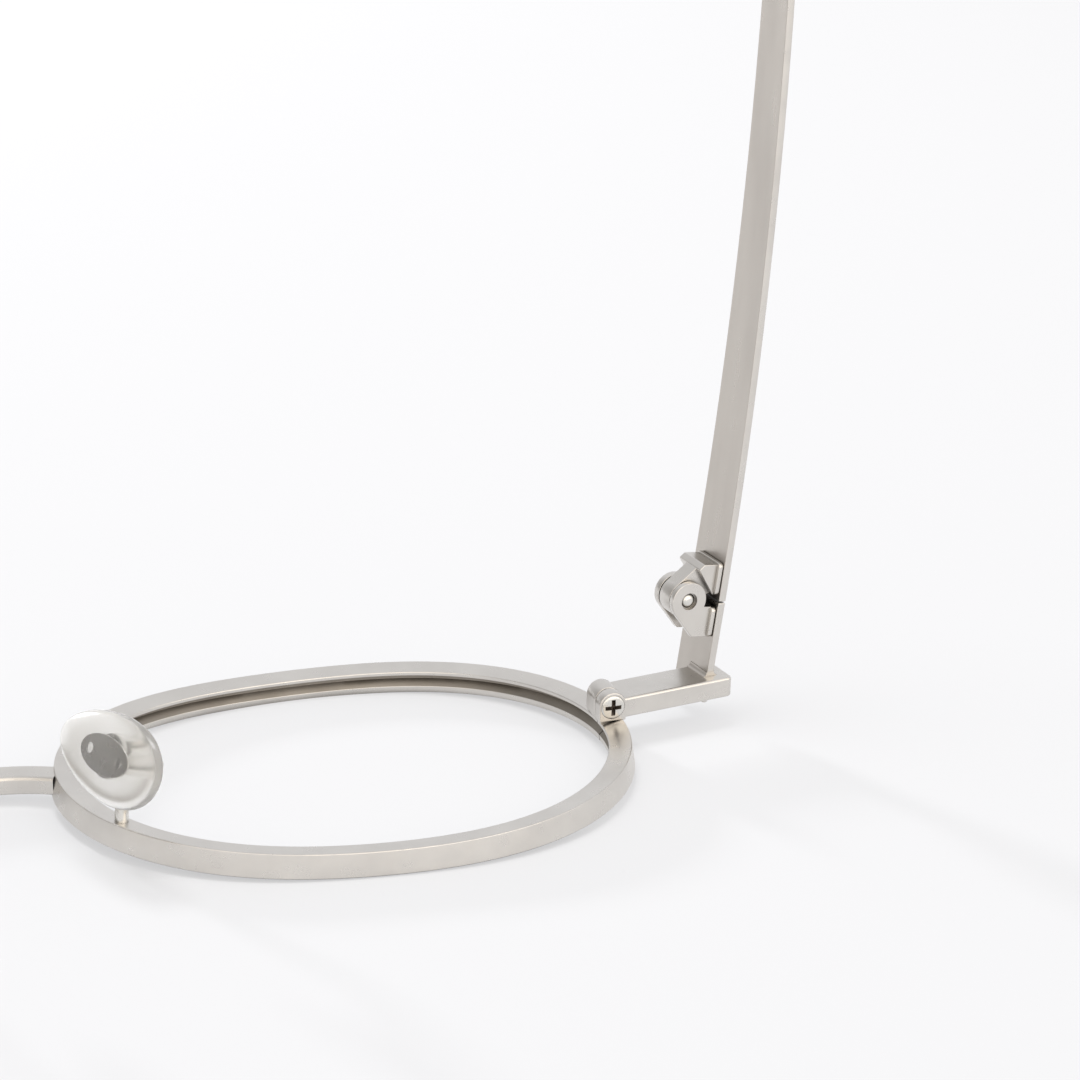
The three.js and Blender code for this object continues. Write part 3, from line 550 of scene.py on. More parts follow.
def piece(name, shell, side, body, material, replaced=(), sharp=30, patch=None):
    """A finished piece of one half, from a shell about the middle of the right-hand rim.

    A patch is a test of a face's place and direction, and the other material of the faces that pass.
    """
    points, faces = shell
    sign = SIDES[side]
    made_at = [(point + MIDDLE) * MM for point in points]
    mesh = as_mesh(name, [Vector((p.x * sign, p.y, p.z)) for p in made_at], faces, 1e-8)
    mesh.materials.append(material)
    mesh.shade_smooth()
    mesh.set_sharp_from_angle(angle=math.radians(sharp))
    if patch:
        belongs, other = patch
        mesh.materials.append(other)
        for face in mesh.polygons:
            centre = Vector((face.center.x * sign, face.center.y, face.center.z)) / MM - MIDDLE
            face.material_index = 1 if belongs(centre, face.normal) else 0
    made = as_object(name, mesh)
    even = made.modifiers.new("even", "WEIGHTED_NORMAL")
    even.keep_sharp = True
    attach(made, body)
    if replaced:
        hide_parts(*replaced)
    return made


# ---------------------------------------------------------------- places


def rim_outline(angle):
    mean = (RIM_WIDTH + RIM_HEIGHT) / 4
    oval = (RIM_WIDTH - RIM_HEIGHT) / 4
    egg = RIM_EGG * math.cos(3 * angle)
    radius = mean + oval * math.cos(2 * angle) - RIM_SKEW * math.sin(2 * angle) - egg
    return Vector((math.cos(angle), math.sin(angle))) * radius


def along_rim(angle, out, behind):
    """A point beside the middle of the rim's section: out from it, and behind it."""
    step = 1e-3
    along = (rim_outline(angle + step) - rim_outline(angle - step)).normalized()
    flat = rim_outline(angle) + Vector((along.y, -along.x)) * (out - RIM_THICK / 2)
    fall = math.sqrt(BASE_CURVE**2 - flat.length_squared)
    inward = Vector((-flat.x, -flat.y, fall)) / BASE_CURVE
    return Vector((flat.x, flat.y, BASE_CURVE - fall)) + inward * behind


def rim_middle():
    """Where the rim's own origin stands, from the box of the CAD rim."""
    turns = [math.radians(degree) for degree in range(360)]
    depths = (-RIM_DEPTH / 2, RIM_DEPTH / 2)
    edge = [along_rim(turn, RIM_THICK / 2, depth) for turn in turns for depth in depths]
    low = Vector(min(point[axis] for point in edge) for axis in range(3))
    high = Vector(max(point[axis] for point in edge) for axis in range(3))
    cad_low, cad_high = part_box("rim_right")
    return (cad_low + cad_high) / 2 / MM - (low + high) / 2


MIDDLE = rim_middle()


def turn_about(axis, angle, origin):
    matrix = Matrix.Rotation(angle, 3, axis)
    return lambda point: matrix @ point + origin


def joint_place(name):
    return Vector(JOINTS[name]["pos_m"]) / MM - MIDDLE


LOCK_SEAT = along_rim(LOCK_ANGLE, 0, RIM_DEPTH / 2)
lock_place = turn_about("Z", LOCK_TURN, LOCK_SEAT)
HINGE = joint_place("temple_fold_right")
hinge_place = turn_about("Y", LEAN, HINGE)
PAD_SCREW = joint_place("pad_rock_right")
PAD_TURN = Matrix.Rotation(PAD_FRONTAL, 3, "Z") @ Matrix.Rotation(PAD_SPLAY, 3, "Y")


def pad_place(point):
    return PAD_TURN @ point + PAD_SCREW


# ---------------------------------------------------------------- rim and lock

LOCK_DEPTH = LOCK_LOWER + LOCK_SEAM + LOCK_UPPER
LOCK_SEAM_Y = LOCK_LOWER - LOCK_DEPTH / 2
LOCK_SCREW_Z = LOCK_HEIGHT - LOCK_SCREW_DROP


def rim():
    """The grooved ring, open at the seam under its lock, with softly rounded corners."""
    out, deep, mouth = RIM_THICK / 2, RIM_DEPTH / 2, GROOVE_WIDTH / 2
    lip = RIM_ROUND / 2
    section = rounded(
        (out, -deep, RIM_ROUND),
        (out, deep, RIM_ROUND),
        (-out, deep, RIM_ROUND),
        (-out, GROOVE_BACK + mouth, lip),
        (-out + GROOVE_DEPTH, GROOVE_BACK + mouth * GROOVE_ROOT, lip),
        (-out + GROOVE_DEPTH, GROOVE_BACK + mouth * GROOVE_ROOT - GROOVE_FLAT, lip),
        (-out, GROOVE_BACK - mouth, lip),
        (-out, -deep, RIM_ROUND),
        steps=3,
    )
    radius = rim_outline(LOCK_ANGLE).length
    start = LOCK_ANGLE + (LOCK_SEAM_Y + LOCK_SEAM) / radius
    end = LOCK_ANGLE + LOCK_SEAM_Y / radius + 2 * math.pi
    turns = [start + (end - start) * k / RIM_STATIONS for k in range(RIM_STATIONS + 1)]
    return loft([[along_rim(turn, p.x, p.y) for p in section] for turn in turns])


def in_groove(centre, normal):
    """Whether a face lies inside the lens groove."""
    turn = math.atan2(centre.y, centre.x)
    wall = along_rim(turn, -RIM_THICK / 2, 0)
    beside = abs(centre.z - wall.z - GROOVE_BACK) < GROOVE_WIDTH / 2 * PATCH_SHARE
    mouth = wall.xy.length
    return beside and mouth + GROOVE_SKIN < centre.xy.length < mouth + RIM_THICK * GROOVE_REACH


def lock_half(near, far):
    """A round-topped block from one depth to another, on a foot that is set in from its near face."""
    half = LOCK_WIDTH / 2
    crown = LOCK_HEIGHT - half
    sides = rounded(
        (-half, crown, 0),
        (-half, LOCK_LIFT, LOCK_ROUND),
        (half, LOCK_LIFT, LOCK_ROUND),
        (half, crown, 0),
    )
    block = prism(sides[1:-1] + arc(half, 0, 180, 28, (0, crown)), near, far, LOCK_ROUND)
    neck, top = half - LOCK_UNDERCUT, LOCK_LIFT + LOCK_FOOT_IN
    foot = rounded((-neck, -LOCK_SUNK, 0), (neck, -LOCK_SUNK, 0), (neck, top, 0), (-neck, top, 0))
    return join(block, prism(foot, near + LOCK_UNDERCUT, far - 0.02))


def lock_lower():
    front = -LOCK_DEPTH / 2
    body = lock_half(front, LOCK_SEAM_Y)
    radius = LOCK_HEAD_D / 2 + LOCK_HEAD_GAP
    sink = bore(2 * radius, front - OVERRUN, front + LOCK_HEAD_SUNK, 48, (0, LOCK_SCREW_Z))
    return turned(cut(body, sink), lock_place)


def lock_upper():
    return turned(lock_half(LOCK_SEAM_Y + LOCK_SEAM, LOCK_DEPTH / 2), lock_place)


def lock_screw():
    """A domed head with a tapered cross recess, on a shank that crosses the seam."""
    front = -LOCK_DEPTH / 2
    top = front - LOCK_HEAD_PROUD
    seat = front + LOCK_HEAD_SUNK - LOCK_HEAD_PLAY
    head = LOCK_HEAD_D / 2
    dome = [(head * share, top + LOCK_HEAD_PROUD * 0.7 * share**3) for share in LOCK_DOME]
    rim_edge = [(head * 0.96, front - 0.04), (head * 0.99, front), (head, front + 0.04), (head, seat)]
    shank = [(LOCK_SCREW_D / 2, seat), (LOCK_SCREW_D / 2, LOCK_DEPTH / 2 - 0.2)]
    screw = lathe(dome + rim_edge + shank, 56, (0, LOCK_SCREW_Z))
    middle = Vector((0, 0, LOCK_SCREW_Z))
    wings = [turned(wing(top), turn_about("Y", math.radians(turn), middle)) for turn in (0, 90)]
    return turned(cut(screw, *wings), lock_place)


def wing(top):
    """One bar of the cross recess, narrower at its bottom."""
    rings = []
    for depth, share in RECESS_TAPER:
        long, wide = RECESS_SPAN / 2 * share, RECESS_SLOT / 2 * (0.4 + 0.6 * share)
        corners = [(-long, -wide), (long, -wide), (long, wide), (-long, wide)]
        rings.append([Vector((x, top + depth, z)) for x, z in corners])
    return loft(rings)


def in_recess(centre, normal):
    """Whether a face lies on a wall of the cross recess."""
    local = Matrix.Rotation(-LOCK_TURN, 3, "Z") @ (centre - LOCK_SEAT)
    top = -LOCK_DEPTH / 2 - LOCK_HEAD_PROUD
    out = Vector((local.x, local.z - LOCK_SCREW_Z)).length
    deep = top + RECESS_SKIN < local.y < top + RECESS_DEPTH + 0.02
    return deep and out < RECESS_SPAN / 2 * PATCH_SHARE


# ---------------------------------------------------------------- end piece and leg

BAR_LOW, BAR_HIGH = (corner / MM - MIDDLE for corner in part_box("end_piece_right"))
BAR_Y = (BAR_LOW.y + BAR_HIGH.y) / 2
BAR_BACK = BAR_HIGH.z
HINGE_REACH = KNUCKLE_R + KNUCKLE_TO_STRIP
FOOT_X = BAR_HIGH.x - STRIP_INSET - STRIP_THICK
STRIP_Y = HINGE.y - HINGE_SHIFT


def end_piece():
    half = BAR_WIDTH / 2
    plan = rounded(
        (LOCK_SEAT.x, -half, BAR_ROUND),
        (BAR_HIGH.x, -half, BAR_CORNER),
        (BAR_HIGH.x, half, BAR_CORNER),
        (LOCK_SEAT.x, half, BAR_ROUND),
        steps=7,
    )
    upright = prism(plan, -BAR_HIGH.z, -BAR_LOW.z, BAR_ROUND, 4)
    return turned(upright, lambda p: Vector((p.x, p.z + BAR_Y, -p.y)))


def hinge_leg():
    """The strip's foot: it stands on the bar, and its brow side runs down past the bar."""
    low, high = STRIP_Y - HINGE.y - STRIP_WIDTH / 2, STRIP_Y - HINGE.y + STRIP_WIDTH / 2
    bar_side = BAR_Y + BAR_WIDTH / 2 - HINGE.y + LEG_BESIDE_BAR
    top = SPLIT_LIFT - SPLIT_GAP
    foot = BAR_BACK - HINGE.z - LEG_SINK
    outline = rounded(
        (low, foot, 0),
        (bar_side, foot, 0),
        (bar_side, foot - LEG_DROP + LEG_SINK, 0),
        (high, foot - LEG_DROP + LEG_SINK, LEG_CORNER),
        (high, top, STRIP_ROUND),
        (low, top, STRIP_ROUND),
    )
    strip = prism(outline, HINGE_REACH, HINGE_REACH + STRIP_THICK, STRIP_ROUND)
    standing = turned(strip, lambda p: hinge_place(Vector((p.y, p.x, p.z))))
    return join(standing, braze(), peg())


def braze():
    """The fillet round the foot, with hollow sides that run out into the bar."""
    wide = STRIP_THICK / math.cos(LEAN)
    hollow = [Vector((LEG_FLARE * (1 - math.sin(t)), LEG_FILLET * (1 - math.cos(t)))) for t in quarter()]
    outline = [Vector((-LEG_FLARE, -BRAZE_ROOT)), Vector((wide + LEG_FLARE, -BRAZE_ROOT))]
    outline += [Vector((wide + point.x, point.y)) for point in hollow]
    outline += [Vector((-point.x, point.y)) for point in reversed(hollow)]
    near, far = STRIP_Y - STRIP_WIDTH / 2 - BRAZE_OVER, BAR_Y + BAR_WIDTH / 2 - BRAZE_SHORT
    body = prism(outline, near, far)
    return turned(body, lambda p: p + Vector((FOOT_X, 0, BAR_BACK)))


def on_edge(centre, normal):
    """Whether a face lies on a thin edge of the strip; these take the lighter satin metal, partly a
    brighter polish and partly painted light that the edges catch from the front.
    """
    return abs(normal.y) > 0.7


def peg():
    """The pin through the bar below the leg, with a rounded end that stands proud of it."""
    end = BAR_LOW.z - PEG_PROUD
    radius = PEG_D / 2
    profile = [(radius, -BAR_HIGH.z), (radius, -BAR_LOW.z)]
    profile += [(radius * share, -end - short) for share, short in PEG_TIP]
    shaft = lathe(profile, 24)
    y = STRIP_Y - STRIP_WIDTH / 2 + PEG_INSET
    return turned(shaft, lambda p: Vector((p.x + FOOT_X + PEG_INWARD, p.z + y, -p.y)))


# ---------------------------------------------------------------- hinge

HINGE_WIDTH = KNUCKLE_NEAR + KNUCKLE_MIDDLE + KNUCKLE_FAR + RUNNING_GAP + FAR_GAP
NEAR_FACE = -HINGE_WIDTH / 2
MIDDLE_FROM = NEAR_FACE + KNUCKLE_NEAR + RUNNING_GAP
MIDDLE_TO = MIDDLE_FROM + KNUCKLE_MIDDLE
FAR_FROM = MIDDLE_TO + FAR_GAP
FAR_FACE = HINGE_WIDTH / 2
LEAF_BACK = HINGE_REACH - LEAF_OFF_STRIP
LEAF_FACE = LEAF_BACK - LEAF_PLATE
LEAF_INSIDE = LEAF_FACE + LEAF_JOIN


def knuckle_outline():
    """A round knuckle whose sides run straight to the heel and into the base plate."""
    bottom = -LEAF_DROP - LEAF_LENGTH
    reach = math.hypot(LEAF_HEEL, bottom)
    leave = math.degrees(math.atan2(bottom, LEAF_HEEL) - math.acos(KNUCKLE_R / reach)) + 360
    meet = math.degrees(math.asin(-LEAF_DROP / KNUCKLE_R))
    outline = arc(KNUCKLE_R, meet, leave, 40)
    foot = ((LEAF_HEEL, bottom), (LEAF_INSIDE, bottom), (LEAF_INSIDE, -LEAF_DROP))
    return outline + [Vector(corner) for corner in foot]


def base_plate(bottom, top):
    low, high = NEAR_FACE - LEAF_MARGIN, FAR_FACE + LEAF_MARGIN
    corners = ((low, bottom), (high, bottom), (high, top), (low, top))
    outline = rounded(*((x, y, PLATE_CORNER) for x, y in corners))
    plate = prism(outline, LEAF_FACE, LEAF_BACK, PLATE_ROUND)
    return turned(plate, lambda p: Vector((p.y, p.x, p.z)))


def pin_hole():
    return bore(PIN_D + PIN_PLAY, NEAR_FACE - OVERRUN, FAR_FACE + OVERRUN)


def front_leaf():
    """A base plate with the two outer knuckles, bored for the screw and its head."""
    near = prism(knuckle_outline(), NEAR_FACE, NEAR_FACE + KNUCKLE_NEAR, LEAF_ROUND)
    far = prism(knuckle_outline(), FAR_FROM, FAR_FACE, LEAF_ROUND)
    plate = base_plate(-LEAF_DROP - LEAF_LENGTH, -LEAF_DROP)
    whole = join(plate, near, far)
    mouth = bore(PIN_MOUTH_D, NEAR_FACE - OVERRUN, NEAR_FACE + KNUCKLE_NEAR / 2)
    sink = bore(PIN_HEAD_D + PIN_PLAY, FAR_FACE - PIN_HEAD, FAR_FACE + OVERRUN)
    return turned(cut(whole, pin_hole(), mouth, sink), hinge_place)


def temple_leaf():
    """A block on a base plate, with one knuckle on an arm below it."""
    low, high = TEMPLE_LEAF_LIFT, KNUCKLE_R + TEMPLE_LEAF_RISE
    block_outline = rounded(
        (LEAF_FACE, low, 0),
        (LEAF_INSIDE, low, 0),
        (LEAF_INSIDE, high, 0),
        (BROW_X, high, BLOCK_CORNER),
        (BROW_X - SHOULDER, high - SHOULDER, SHOULDER_CORNER),
    )
    block = prism(block_outline, NEAR_FACE, FAR_FACE + LEAF_MARGIN, BLOCK_ROUND)
    inside = high - 0.05
    arm_outline = arc(KNUCKLE_R, ARM_LEAVES, ARM_MEETS, 48)
    arm_outline += [Vector((LEAF_INSIDE, low)), Vector((LEAF_INSIDE, inside)), Vector((BROW_X, inside))]
    arm_outline += [Vector((BROW_X - SHOULDER + 0.02, high - SHOULDER - 0.02))]
    knuckle = prism(arm_outline, MIDDLE_FROM, MIDDLE_TO, LEAF_ROUND)
    plate = base_plate(low, high + TEMPLE_LEAF_LIP)
    whole = join(block, knuckle, plate)
    return turned(cut(whole, pin_hole()), hinge_place)


def hinge_screw():
    """A shank with a domed end at the near face, and a slotted head sunk in the far knuckle."""
    radius, head = PIN_D / 2, PIN_HEAD_D / 2
    near, far = NEAR_FACE + PIN_SUNK, FAR_FACE + PIN_PROUD
    under = FAR_FACE - PIN_HEAD + 0.04
    dome = [(radius * share, near - 0.12 + 0.26 * share**3) for share in PIN_TIP]
    top = [(head, under), (head, far - 0.16), (head * 0.95, far - 0.05), (head * 0.8, far)]
    screw = lathe(dome + [(radius, under)] + top + [(head * 0.3, far + 0.02)], 56)
    wide = PIN_SLOT_HALF
    corners = [(-head, -wide), (head, -wide), (head, wide), (-head, wide)]
    slot = loft([[Vector((x, y, z)) for x, z in corners] for y in (far - PIN_SLOT_DEPTH, far + OVERRUN)])
    return turned(cut(screw, slot), hinge_place)


# ---------------------------------------------------------------- temple and tip

TIP_FROM = TEMPLE_LENGTH - TIP_LENGTH
EAR_FROM = TEMPLE_LENGTH - EAR_START


def temple_stations(start, end, count):
    """Places along the middle of the temple, with the directions of its width and its outer face."""

    def lean(s):
        return LEAN - s / TEMPLE_BOW

    def heading(s):
        drop = min(max(s - EAR_FROM, 0) / EAR_RADIUS, EAR_DROP)
        ahead = math.cos(drop)
        return Vector((math.sin(lean(s)) * ahead, -math.sin(drop), math.cos(lean(s)) * ahead))

    outward = Vector((math.cos(LEAN), 0, -math.sin(LEAN)))
    place = Vector((HINGE.x, STRIP_Y, HINGE.z))
    place += outward * (HINGE_REACH + STRIP_THICK / 2) + heading(0) * SPLIT_LIFT
    stations = []
    s = 0.0
    for i in range(count + 1):
        wanted = start + (end - start) * i / count
        while s < wanted - 1e-9:
            hop = min(TEMPLE_STEP, wanted - s)
            place = place + heading(s + hop / 2) * hop
            s += hop
        face = Vector((math.cos(lean(s)), 0, -math.sin(lean(s))))
        stations.append((s, place.copy(), face, heading(s).cross(face)))
    return stations


def laid(stations, section_at):
    """A shell whose section of (side, face) points is laid at each station."""
    rings = []
    for s, place, face, side in stations:
        rings.append([place + side * p.x + face * p.y for p in section_at(s)])
    return loft(rings)


def box_section(width, thick, radius):
    half, skin = width / 2, thick / 2
    corners = ((-half, -skin), (half, -skin), (half, skin), (-half, skin))
    return rounded(*((x, y, radius) for x, y in corners), steps=4)


def temple():
    """The tapered strip up to the tip, and the narrower core that runs on inside the tip."""

    def shown(s):
        width = STRIP_WIDTH + (TAPER_WIDTH - STRIP_WIDTH) * min(s / TIP_FROM, 1)
        less = 2 * (TEMPLE_END_ROUND - min(s, TEMPLE_END_ROUND))
        return box_section(width - less, STRIP_THICK - less, STRIP_ROUND)

    def hidden(s):
        return box_section(CORE_WIDTH, STRIP_THICK, STRIP_ROUND)

    near_end = temple_stations(0, TEMPLE_END_ROUND, 2)
    body = laid(near_end + temple_stations(0.4, TIP_FROM + 1.5, 110), shown)
    core = laid(temple_stations(TIP_FROM + 1, TEMPLE_LENGTH - CORE_SHORT, 60), hidden)
    return body, core


def tip():
    """The acetate sleeve: it swells towards its round end, and its mouth is softly rolled."""
    round_end = TIP_LENGTH * TIP_CLOSING

    def square(value):
        return math.copysign(abs(value) ** TIP_SQUARE, value)

    def section(s):
        part = (s - TIP_FROM) / TIP_LENGTH
        swell = TIP_NECK + (TIP_WIDTH - TIP_NECK) * math.sin(math.pi / 2 * min(part / TIP_FULL, 1))
        closing = max(part - (1 - TIP_CLOSING), 0) / TIP_CLOSING
        end = max(math.sqrt(max(1 - closing**2, 0)), TIP_LEAST)
        roll = max(1 - (s - TIP_FROM) / TIP_ROLL, 0)
        end *= 1 - 0.09 * roll**2
        across, thick = swell * end / 2, TIP_THICK * max(end, TIP_LEAST) / 2
        turns = [2 * math.pi * (k + 0.5) / 40 for k in range(40)]
        return [Vector((square(math.sin(t)) * across, square(math.cos(t)) * thick)) for t in turns]

    stations = temple_stations(TIP_FROM, TIP_FROM + 0.6, 4)
    stations += temple_stations(TIP_FROM + 1.2, TEMPLE_LENGTH - round_end, 90)
    for turn in quarter(9)[1:]:
        stations.append(temple_stations(0, TEMPLE_LENGTH - round_end * math.cos(turn), 1)[1])
    return laid(stations, section)


# ---------------------------------------------------------------- bridge


def bridge():
    """A slim arch between the nose sides of the rims, with softly rounded edges."""
    middle = Vector((MIDDLE.x, 0, 0))
    end = along_rim(BRIDGE_ANGLE, RIM_THICK / 2 - BRIDGE_IN, 0) + middle
    half, deep = BRIDGE_WIDTH / 2, BRIDGE_DEPTH / 2
    corners = ((-half, -deep), (half, -deep), (half, deep), (-half, deep))
    section = rounded(*((x, y, BRIDGE_ROUND) for x, y in corners), steps=5)
    points = []
    for k in range(BRIDGE_STATIONS + 1):
        share = 2 * k / BRIDGE_STATIONS - 1
        rise = 1 - abs(share) ** BRIDGE_FLATNESS
        points.append(Vector((end.x * share, end.y + BRIDGE_RISE * rise, end.z - BRIDGE_BOW * rise)))
    rings = []
    for k, point in enumerate(points):
        along = direction(points, k)
        side = along.cross(Vector((0, 0, 1))).normalized()
        rings.append([point - middle + side * p.x + Vector((0, 0, p.y)) for p in section])
    return loft(rings)


# ---------------------------------------------------------------- nose pads


def spline(knots, steps):
    """A smooth curve through its knots."""
    ends = [2 * knots[0] - knots[1], *knots, 2 * knots[-1] - knots[-2]]
    points = []
    for a, b, c, d in zip(ends, ends[1:], ends[2:], ends[3:]):
        for k in range(steps):
            t = k / steps
            square, cube = 2 * a - 5 * b + 4 * c - d, 3 * b - a - 3 * c + d
            points.append((2 * b + (c - a) * t + square * t**2 + cube * t**3) / 2)
    return points + [knots[-1]]


def wire(points, diameter, sides=20):
    """A round wire along points, with a frame that turns as little as it can."""
    side = Vector((0, 1, 0))
    rings = []
    for k, point in enumerate(points):
        along = direction(points, k)
        side = (side - along * side.dot(along)).normalized()
        other = along.cross(side)
        rings.append([point + side * p.x + other * p.y for p in circle(diameter / 2, sides)])
    return loft(rings)


def pad_arm():
    """The wire from the back of the rim, looped behind it to the base of the box."""
    foot = along_rim(ARM_ANGLE, 0, RIM_DEPTH / 2 - ARM_IN)
    away = PAD_TURN @ Vector((1, 0, 0))
    end = PAD_SCREW + away * (PAD_SCREW_D / 2 + BOX_PLAY + BOX_WALL - ARM_IN)
    near = end + away * ARM_STUB
    rise = foot + Vector((ARM_BOW / 3, 0, ARM_STUB))
    loop = Vector(((rise.x + near.x) / 2 + ARM_BOW, (rise.y + near.y) / 2, foot.z + ARM_RISE))
    return wire(spline([foot, rise, loop, near, end], 14), ARM_D)


def nose_pad():
    """A thin drop-shaped pad: domed towards the nose, flat behind, broader at its lower end."""
    back = -PAD_STANDOFF - PAD_PLATE - 0.02
    rings = []
    for share, depth in PAD_LEVELS:
        ring = []
        for k in range(64):
            turn = 2 * math.pi * k / 64
            along, across = math.sin(turn), math.cos(turn)
            waist = 1 - PAD_WAIST * along
            y = PAD_LENGTH / 2 * along * share
            z = PAD_WIDTH / 2 * across * waist * share * PAD_INSET
            ring.append(Vector((back + depth, y, z)))
        rings.append(ring)
    return turned(loft(rings), pad_place)


def pad_insert():
    """The thin metal leaf moulded into the silicone, seen through it."""
    back = -PAD_STANDOFF - PAD_PLATE - INSERT_BEHIND
    across, along = INSERT_HALF
    outline = [Vector((point.x * across, point.y * along)) for point in circle(1, 40)]
    plate = prism(outline, -INSERT_THICK / 2, INSERT_THICK / 2, INSERT_ROUND)
    places = (-INSERT_HOLE_AT, INSERT_HOLE_AT)
    holes = [bore(INSERT_HOLE_D, -OVERRUN, OVERRUN, 24, (0, z)) for z in places]
    return turned(cut(plate, *holes), lambda p: pad_place(Vector((back + p.y, p.z, p.x))))


# ---------------------------------------------------------------- stage, camera and light


def paper():
    """Matt white paper, lit a little from below so that it stays pale."""
    made = Shader("paper")
    made.set(Roughness=0.9, Specular_IOR_Level=0.1, Base_Color=(0.22, 0.222, 0.228, 1))
    made.set(Emission_Color=(1.0, 1.0, 1.012, 1), Emission_Strength=0.535)
    return made.material


def floor():
    half = 3.0
    sheet = bpy.data.meshes.new("floor")
    corners = [(-half, -half, 0), (half, -half, 0), (half, half, 0), (-half, half, 0)]
    sheet.from_pydata(corners, [], [(0, 1, 2, 3)])
    sheet.materials.append(paper())
    made = as_object("floor", sheet)


def camera():
    """The camera looks down along +Y, from the nose side, at the right-hand rim."""
    azimuth, elevation, roll = math.radians(28.53), math.radians(20.85), math.radians(1.28)
    distance, aside, above = 260.5 * MM, 16.65 * MM, 20.54 * MM
    brow_side, off_floor = 0.16 * MM, 0.1 * MM
    low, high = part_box("rim_right")
    aim = Vector((MIDDLE.x * MM, (low.y + high.y) / 2 + brow_side, off_floor))
    level = Vector((math.cos(azimuth), -math.sin(azimuth), 0))
    ahead = Vector((math.sin(azimuth), math.cos(azimuth), 0))
    forward = ahead * math.cos(elevation) - Vector((0, 0, math.sin(elevation)))
    upright = level.cross(forward)
    right = level * math.cos(roll) + upright * math.sin(roll)
    up = upright * math.cos(roll) - level * math.sin(roll)
    lens = bpy.data.cameras.new("camera")
    lens.sensor_width = 36
    lens.lens = 100
    lens.clip_start = 0.01
    made = as_object("camera", lens)
    turn = Matrix((right, up, -forward)).transposed().to_4x4()
    spot = aim + right * aside + up * above - forward * distance
    made.matrix_world = Matrix.Translation(spot) @ turn
    bpy.context.scene.camera = made


def lamp(name, place, aim, size, power, colour, mirrored=True):
    light = bpy.data.lights.new(name, "AREA")
    light.shape = "DISK"
    light.size = size
    light.energy = power
    light.color = colour
    made = as_object(name, light)
    made.location = place
    made.rotation_euler = (Vector(aim) - Vector(place)).to_track_quat("-Z", "Y").to_euler()
    made.visible_glossy = mirrored


def studio():
    """A pale room: neutral and even, brighter and warmer in front, dimmer on the nose side."""
    world = bpy.data.worlds.new("studio")
    world.use_nodes = True
    tree = world.node_tree
    coords = tree.nodes.new("ShaderNodeTexCoord")

    def toward(direction, low, high):
        facing = tree.nodes.new("ShaderNodeVectorMath")
        facing.operation = "DOT_PRODUCT"
        facing.inputs[1].default_value = Vector(direction).normalized()
        tree.links.new(coords.outputs["Generated"], facing.inputs[0])
        fade = tree.nodes.new("ShaderNodeMapRange")
        fade.interpolation_type = "SMOOTHSTEP"
        fade.inputs["From Min"].default_value = low
        fade.inputs["From Max"].default_value = high
        tree.links.new(facing.outputs["Value"], fade.inputs["Value"])
        return fade.outputs["Result"]

    even = (0.90, 0.905, 0.925)
    dim = mixed(tree, toward((-0.95, 0.25, 0.1), 0.2, 0.95), even, (0.42, 0.41, 0.40))
    warm = mixed(tree, toward((-0.1, -0.93, 0.2), 0.1, 0.85), dim, (1.62, 1.52, 1.40))
    tree.links.new(warm, tree.nodes["Background"].inputs["Color"])
    bpy.context.scene.world = world


def light():
    studio()
    middle = (0.03, 0, 0.03)
    lamp("top_softbox", (-0.05, 0.1, 0.95), middle, 0.35, 5.4, (1.0, 1.0, 1.0), mirrored=False)
    lamp("low_back", (-0.2, 0.96, 0.25), middle, 0.13, 11, (1.0, 1.0, 1.0), mirrored=False)
    lamp("warm_front", (0.3, -0.9, 0.16), middle, 0.8, 1.0, (1.0, 0.94, 0.86))
    scene = bpy.context.scene
    scene.view_settings.view_transform = "Standard"
    scene.view_settings.look = "None"


# ---------------------------------------------------------------- CAD nodes that stay


def soften(node, material, edge):
    """A CAD node keeps its shape: its flat faces are merged, its edges rounded, its shading smoothed."""
    made = NODES[node]
    weld = made.modifiers.new("weld", "WELD")
    weld.merge_threshold = 1e-6
    flat = made.modifiers.new("flat", "DECIMATE")
    flat.decimate_type = "DISSOLVE"
    flat.angle_limit = SOFT_FLAT
    bevel = made.modifiers.new("bevel", "BEVEL")
    bevel.width = edge * MM
    bevel.segments = 3
    bevel.limit_method = "ANGLE"
    bevel.angle_limit = SOFT_ANGLE
    bevel.harden_normals = True
    bevel.use_clamp_overlap = True
    for face in made.data.polygons:
        face.use_smooth = True
    made.data.materials.clear()
    made.data.materials.append(material)


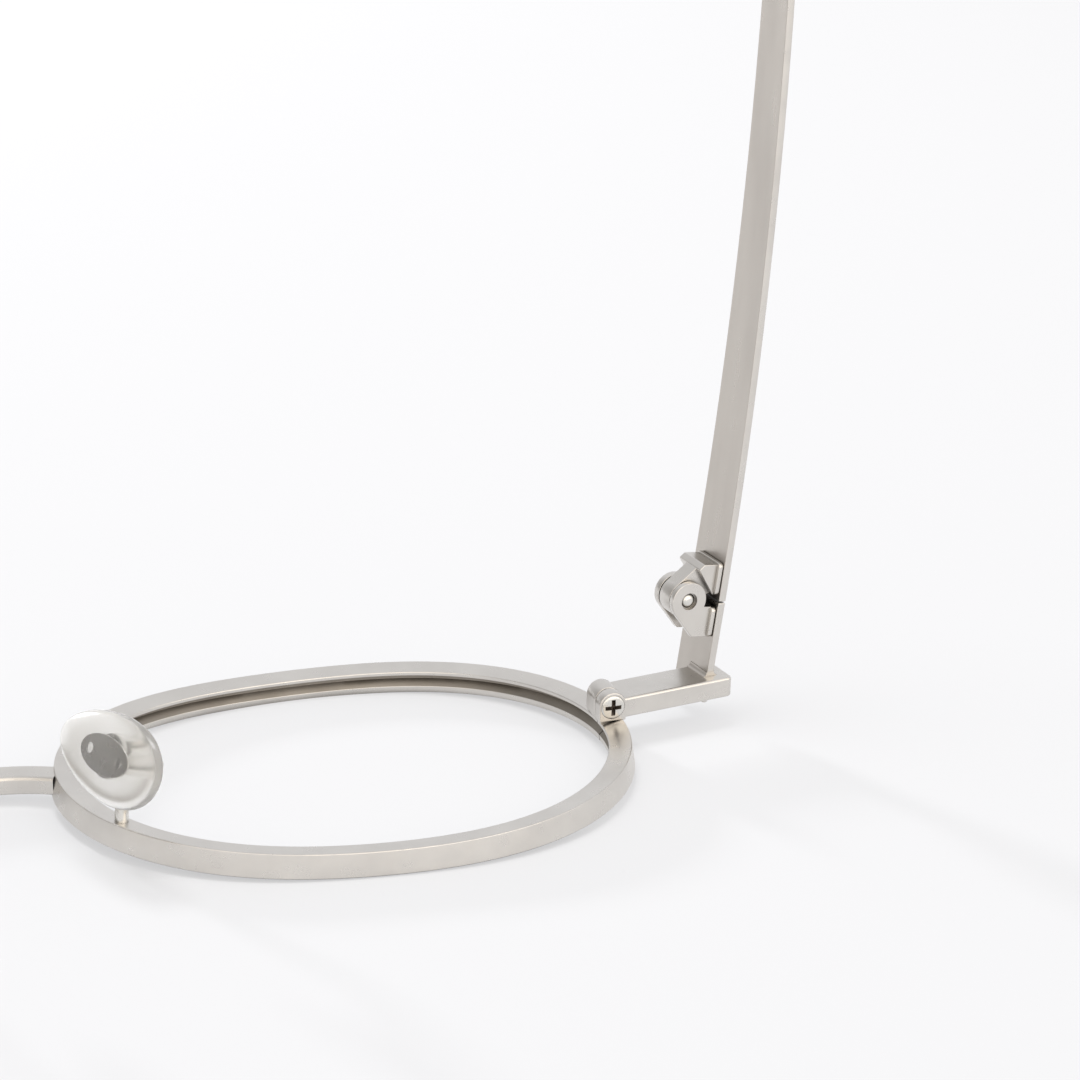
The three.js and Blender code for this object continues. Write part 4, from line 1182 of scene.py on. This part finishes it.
def build():
    """Every shell is made once and finished for both halves."""
    strip, core = temple()
    fine = [
        ("rim", rim(), "front", SATIN, "satin_nickel", ("rim",)),
        ("lock_lower", lock_lower(), "front", SATIN, "satin_nickel", ("rim_lock_lower",)),
        ("lock_upper", lock_upper(), "front", SATIN, "satin_nickel", ("rim_lock_upper",)),
        ("end_piece_bar", end_piece(), "front", SATIN, "satin_nickel", ("end_piece",)),
        ("leg", hinge_leg(), "front", STRIP, "brushed_strip", ("hinge_leg",)),
        ("front_leaf", front_leaf(), "front", SATIN, "satin_nickel", ("front_hinge_leaf",)),
        ("pin", hinge_screw(), "front", PEENED, "bright_steel", ("hinge_screw",)),
        ("temple_leaf", temple_leaf(), "temple", SATIN, "satin_nickel", ("temple_hinge_leaf",)),
        ("temple_strip", strip, "temple", STRIP, "brushed_strip", ("temple",)),
        ("temple_core", core, "temple", STRIP, "brushed_strip", ()),
        ("ear_tip", tip(), "temple", ACETATE, "tip_acetate", ("temple_tip",)),
        ("arm_wire", pad_arm(), "front", STEEL, "bright_steel", ("pad_arm",)),
        ("pad_drop", nose_pad(), "nose_pad", SILICONE, "pad_silicone", ("nose_pad",)),
        ("pad_leaf", pad_insert(), "nose_pad", STEEL, "bright_steel", ()),
    ]
    patches = {"rim": (in_groove, GROOVE), "leg": (on_edge, SATIN), "temple_strip": (on_edge, SATIN)}
    screw = lock_screw()
    for side in SIDES:
        for name, shell, body, material, slot, nodes in fine:
            ridden = body if body == "front" else f"{body}_{side}"
            stood = [f"{node}_{side}" for node in nodes]
            piece(f"{name}_{side}", shell, side, ridden, material, stood, patch=patches.get(name))
        stood = [f"rim_lock_screw_{side}"]
        # The cross recess takes the dark metal that paints its shade.
        cross = (in_recess, RECESS)
        piece(f"lock_screw_{side}", screw, side, "front", PEENED, stood, patch=cross)
        soften(f"pad_box_{side}", STEEL, 0.07)
        soften(f"pad_screw_{side}", STEEL, 0.05)
        soften(f"pad_plate_{side}", STEEL, 0.06)
    piece("bridge_arch", bridge(), "right", "front", SATIN, ("bridge",))


floor()
camera()
light()
build()
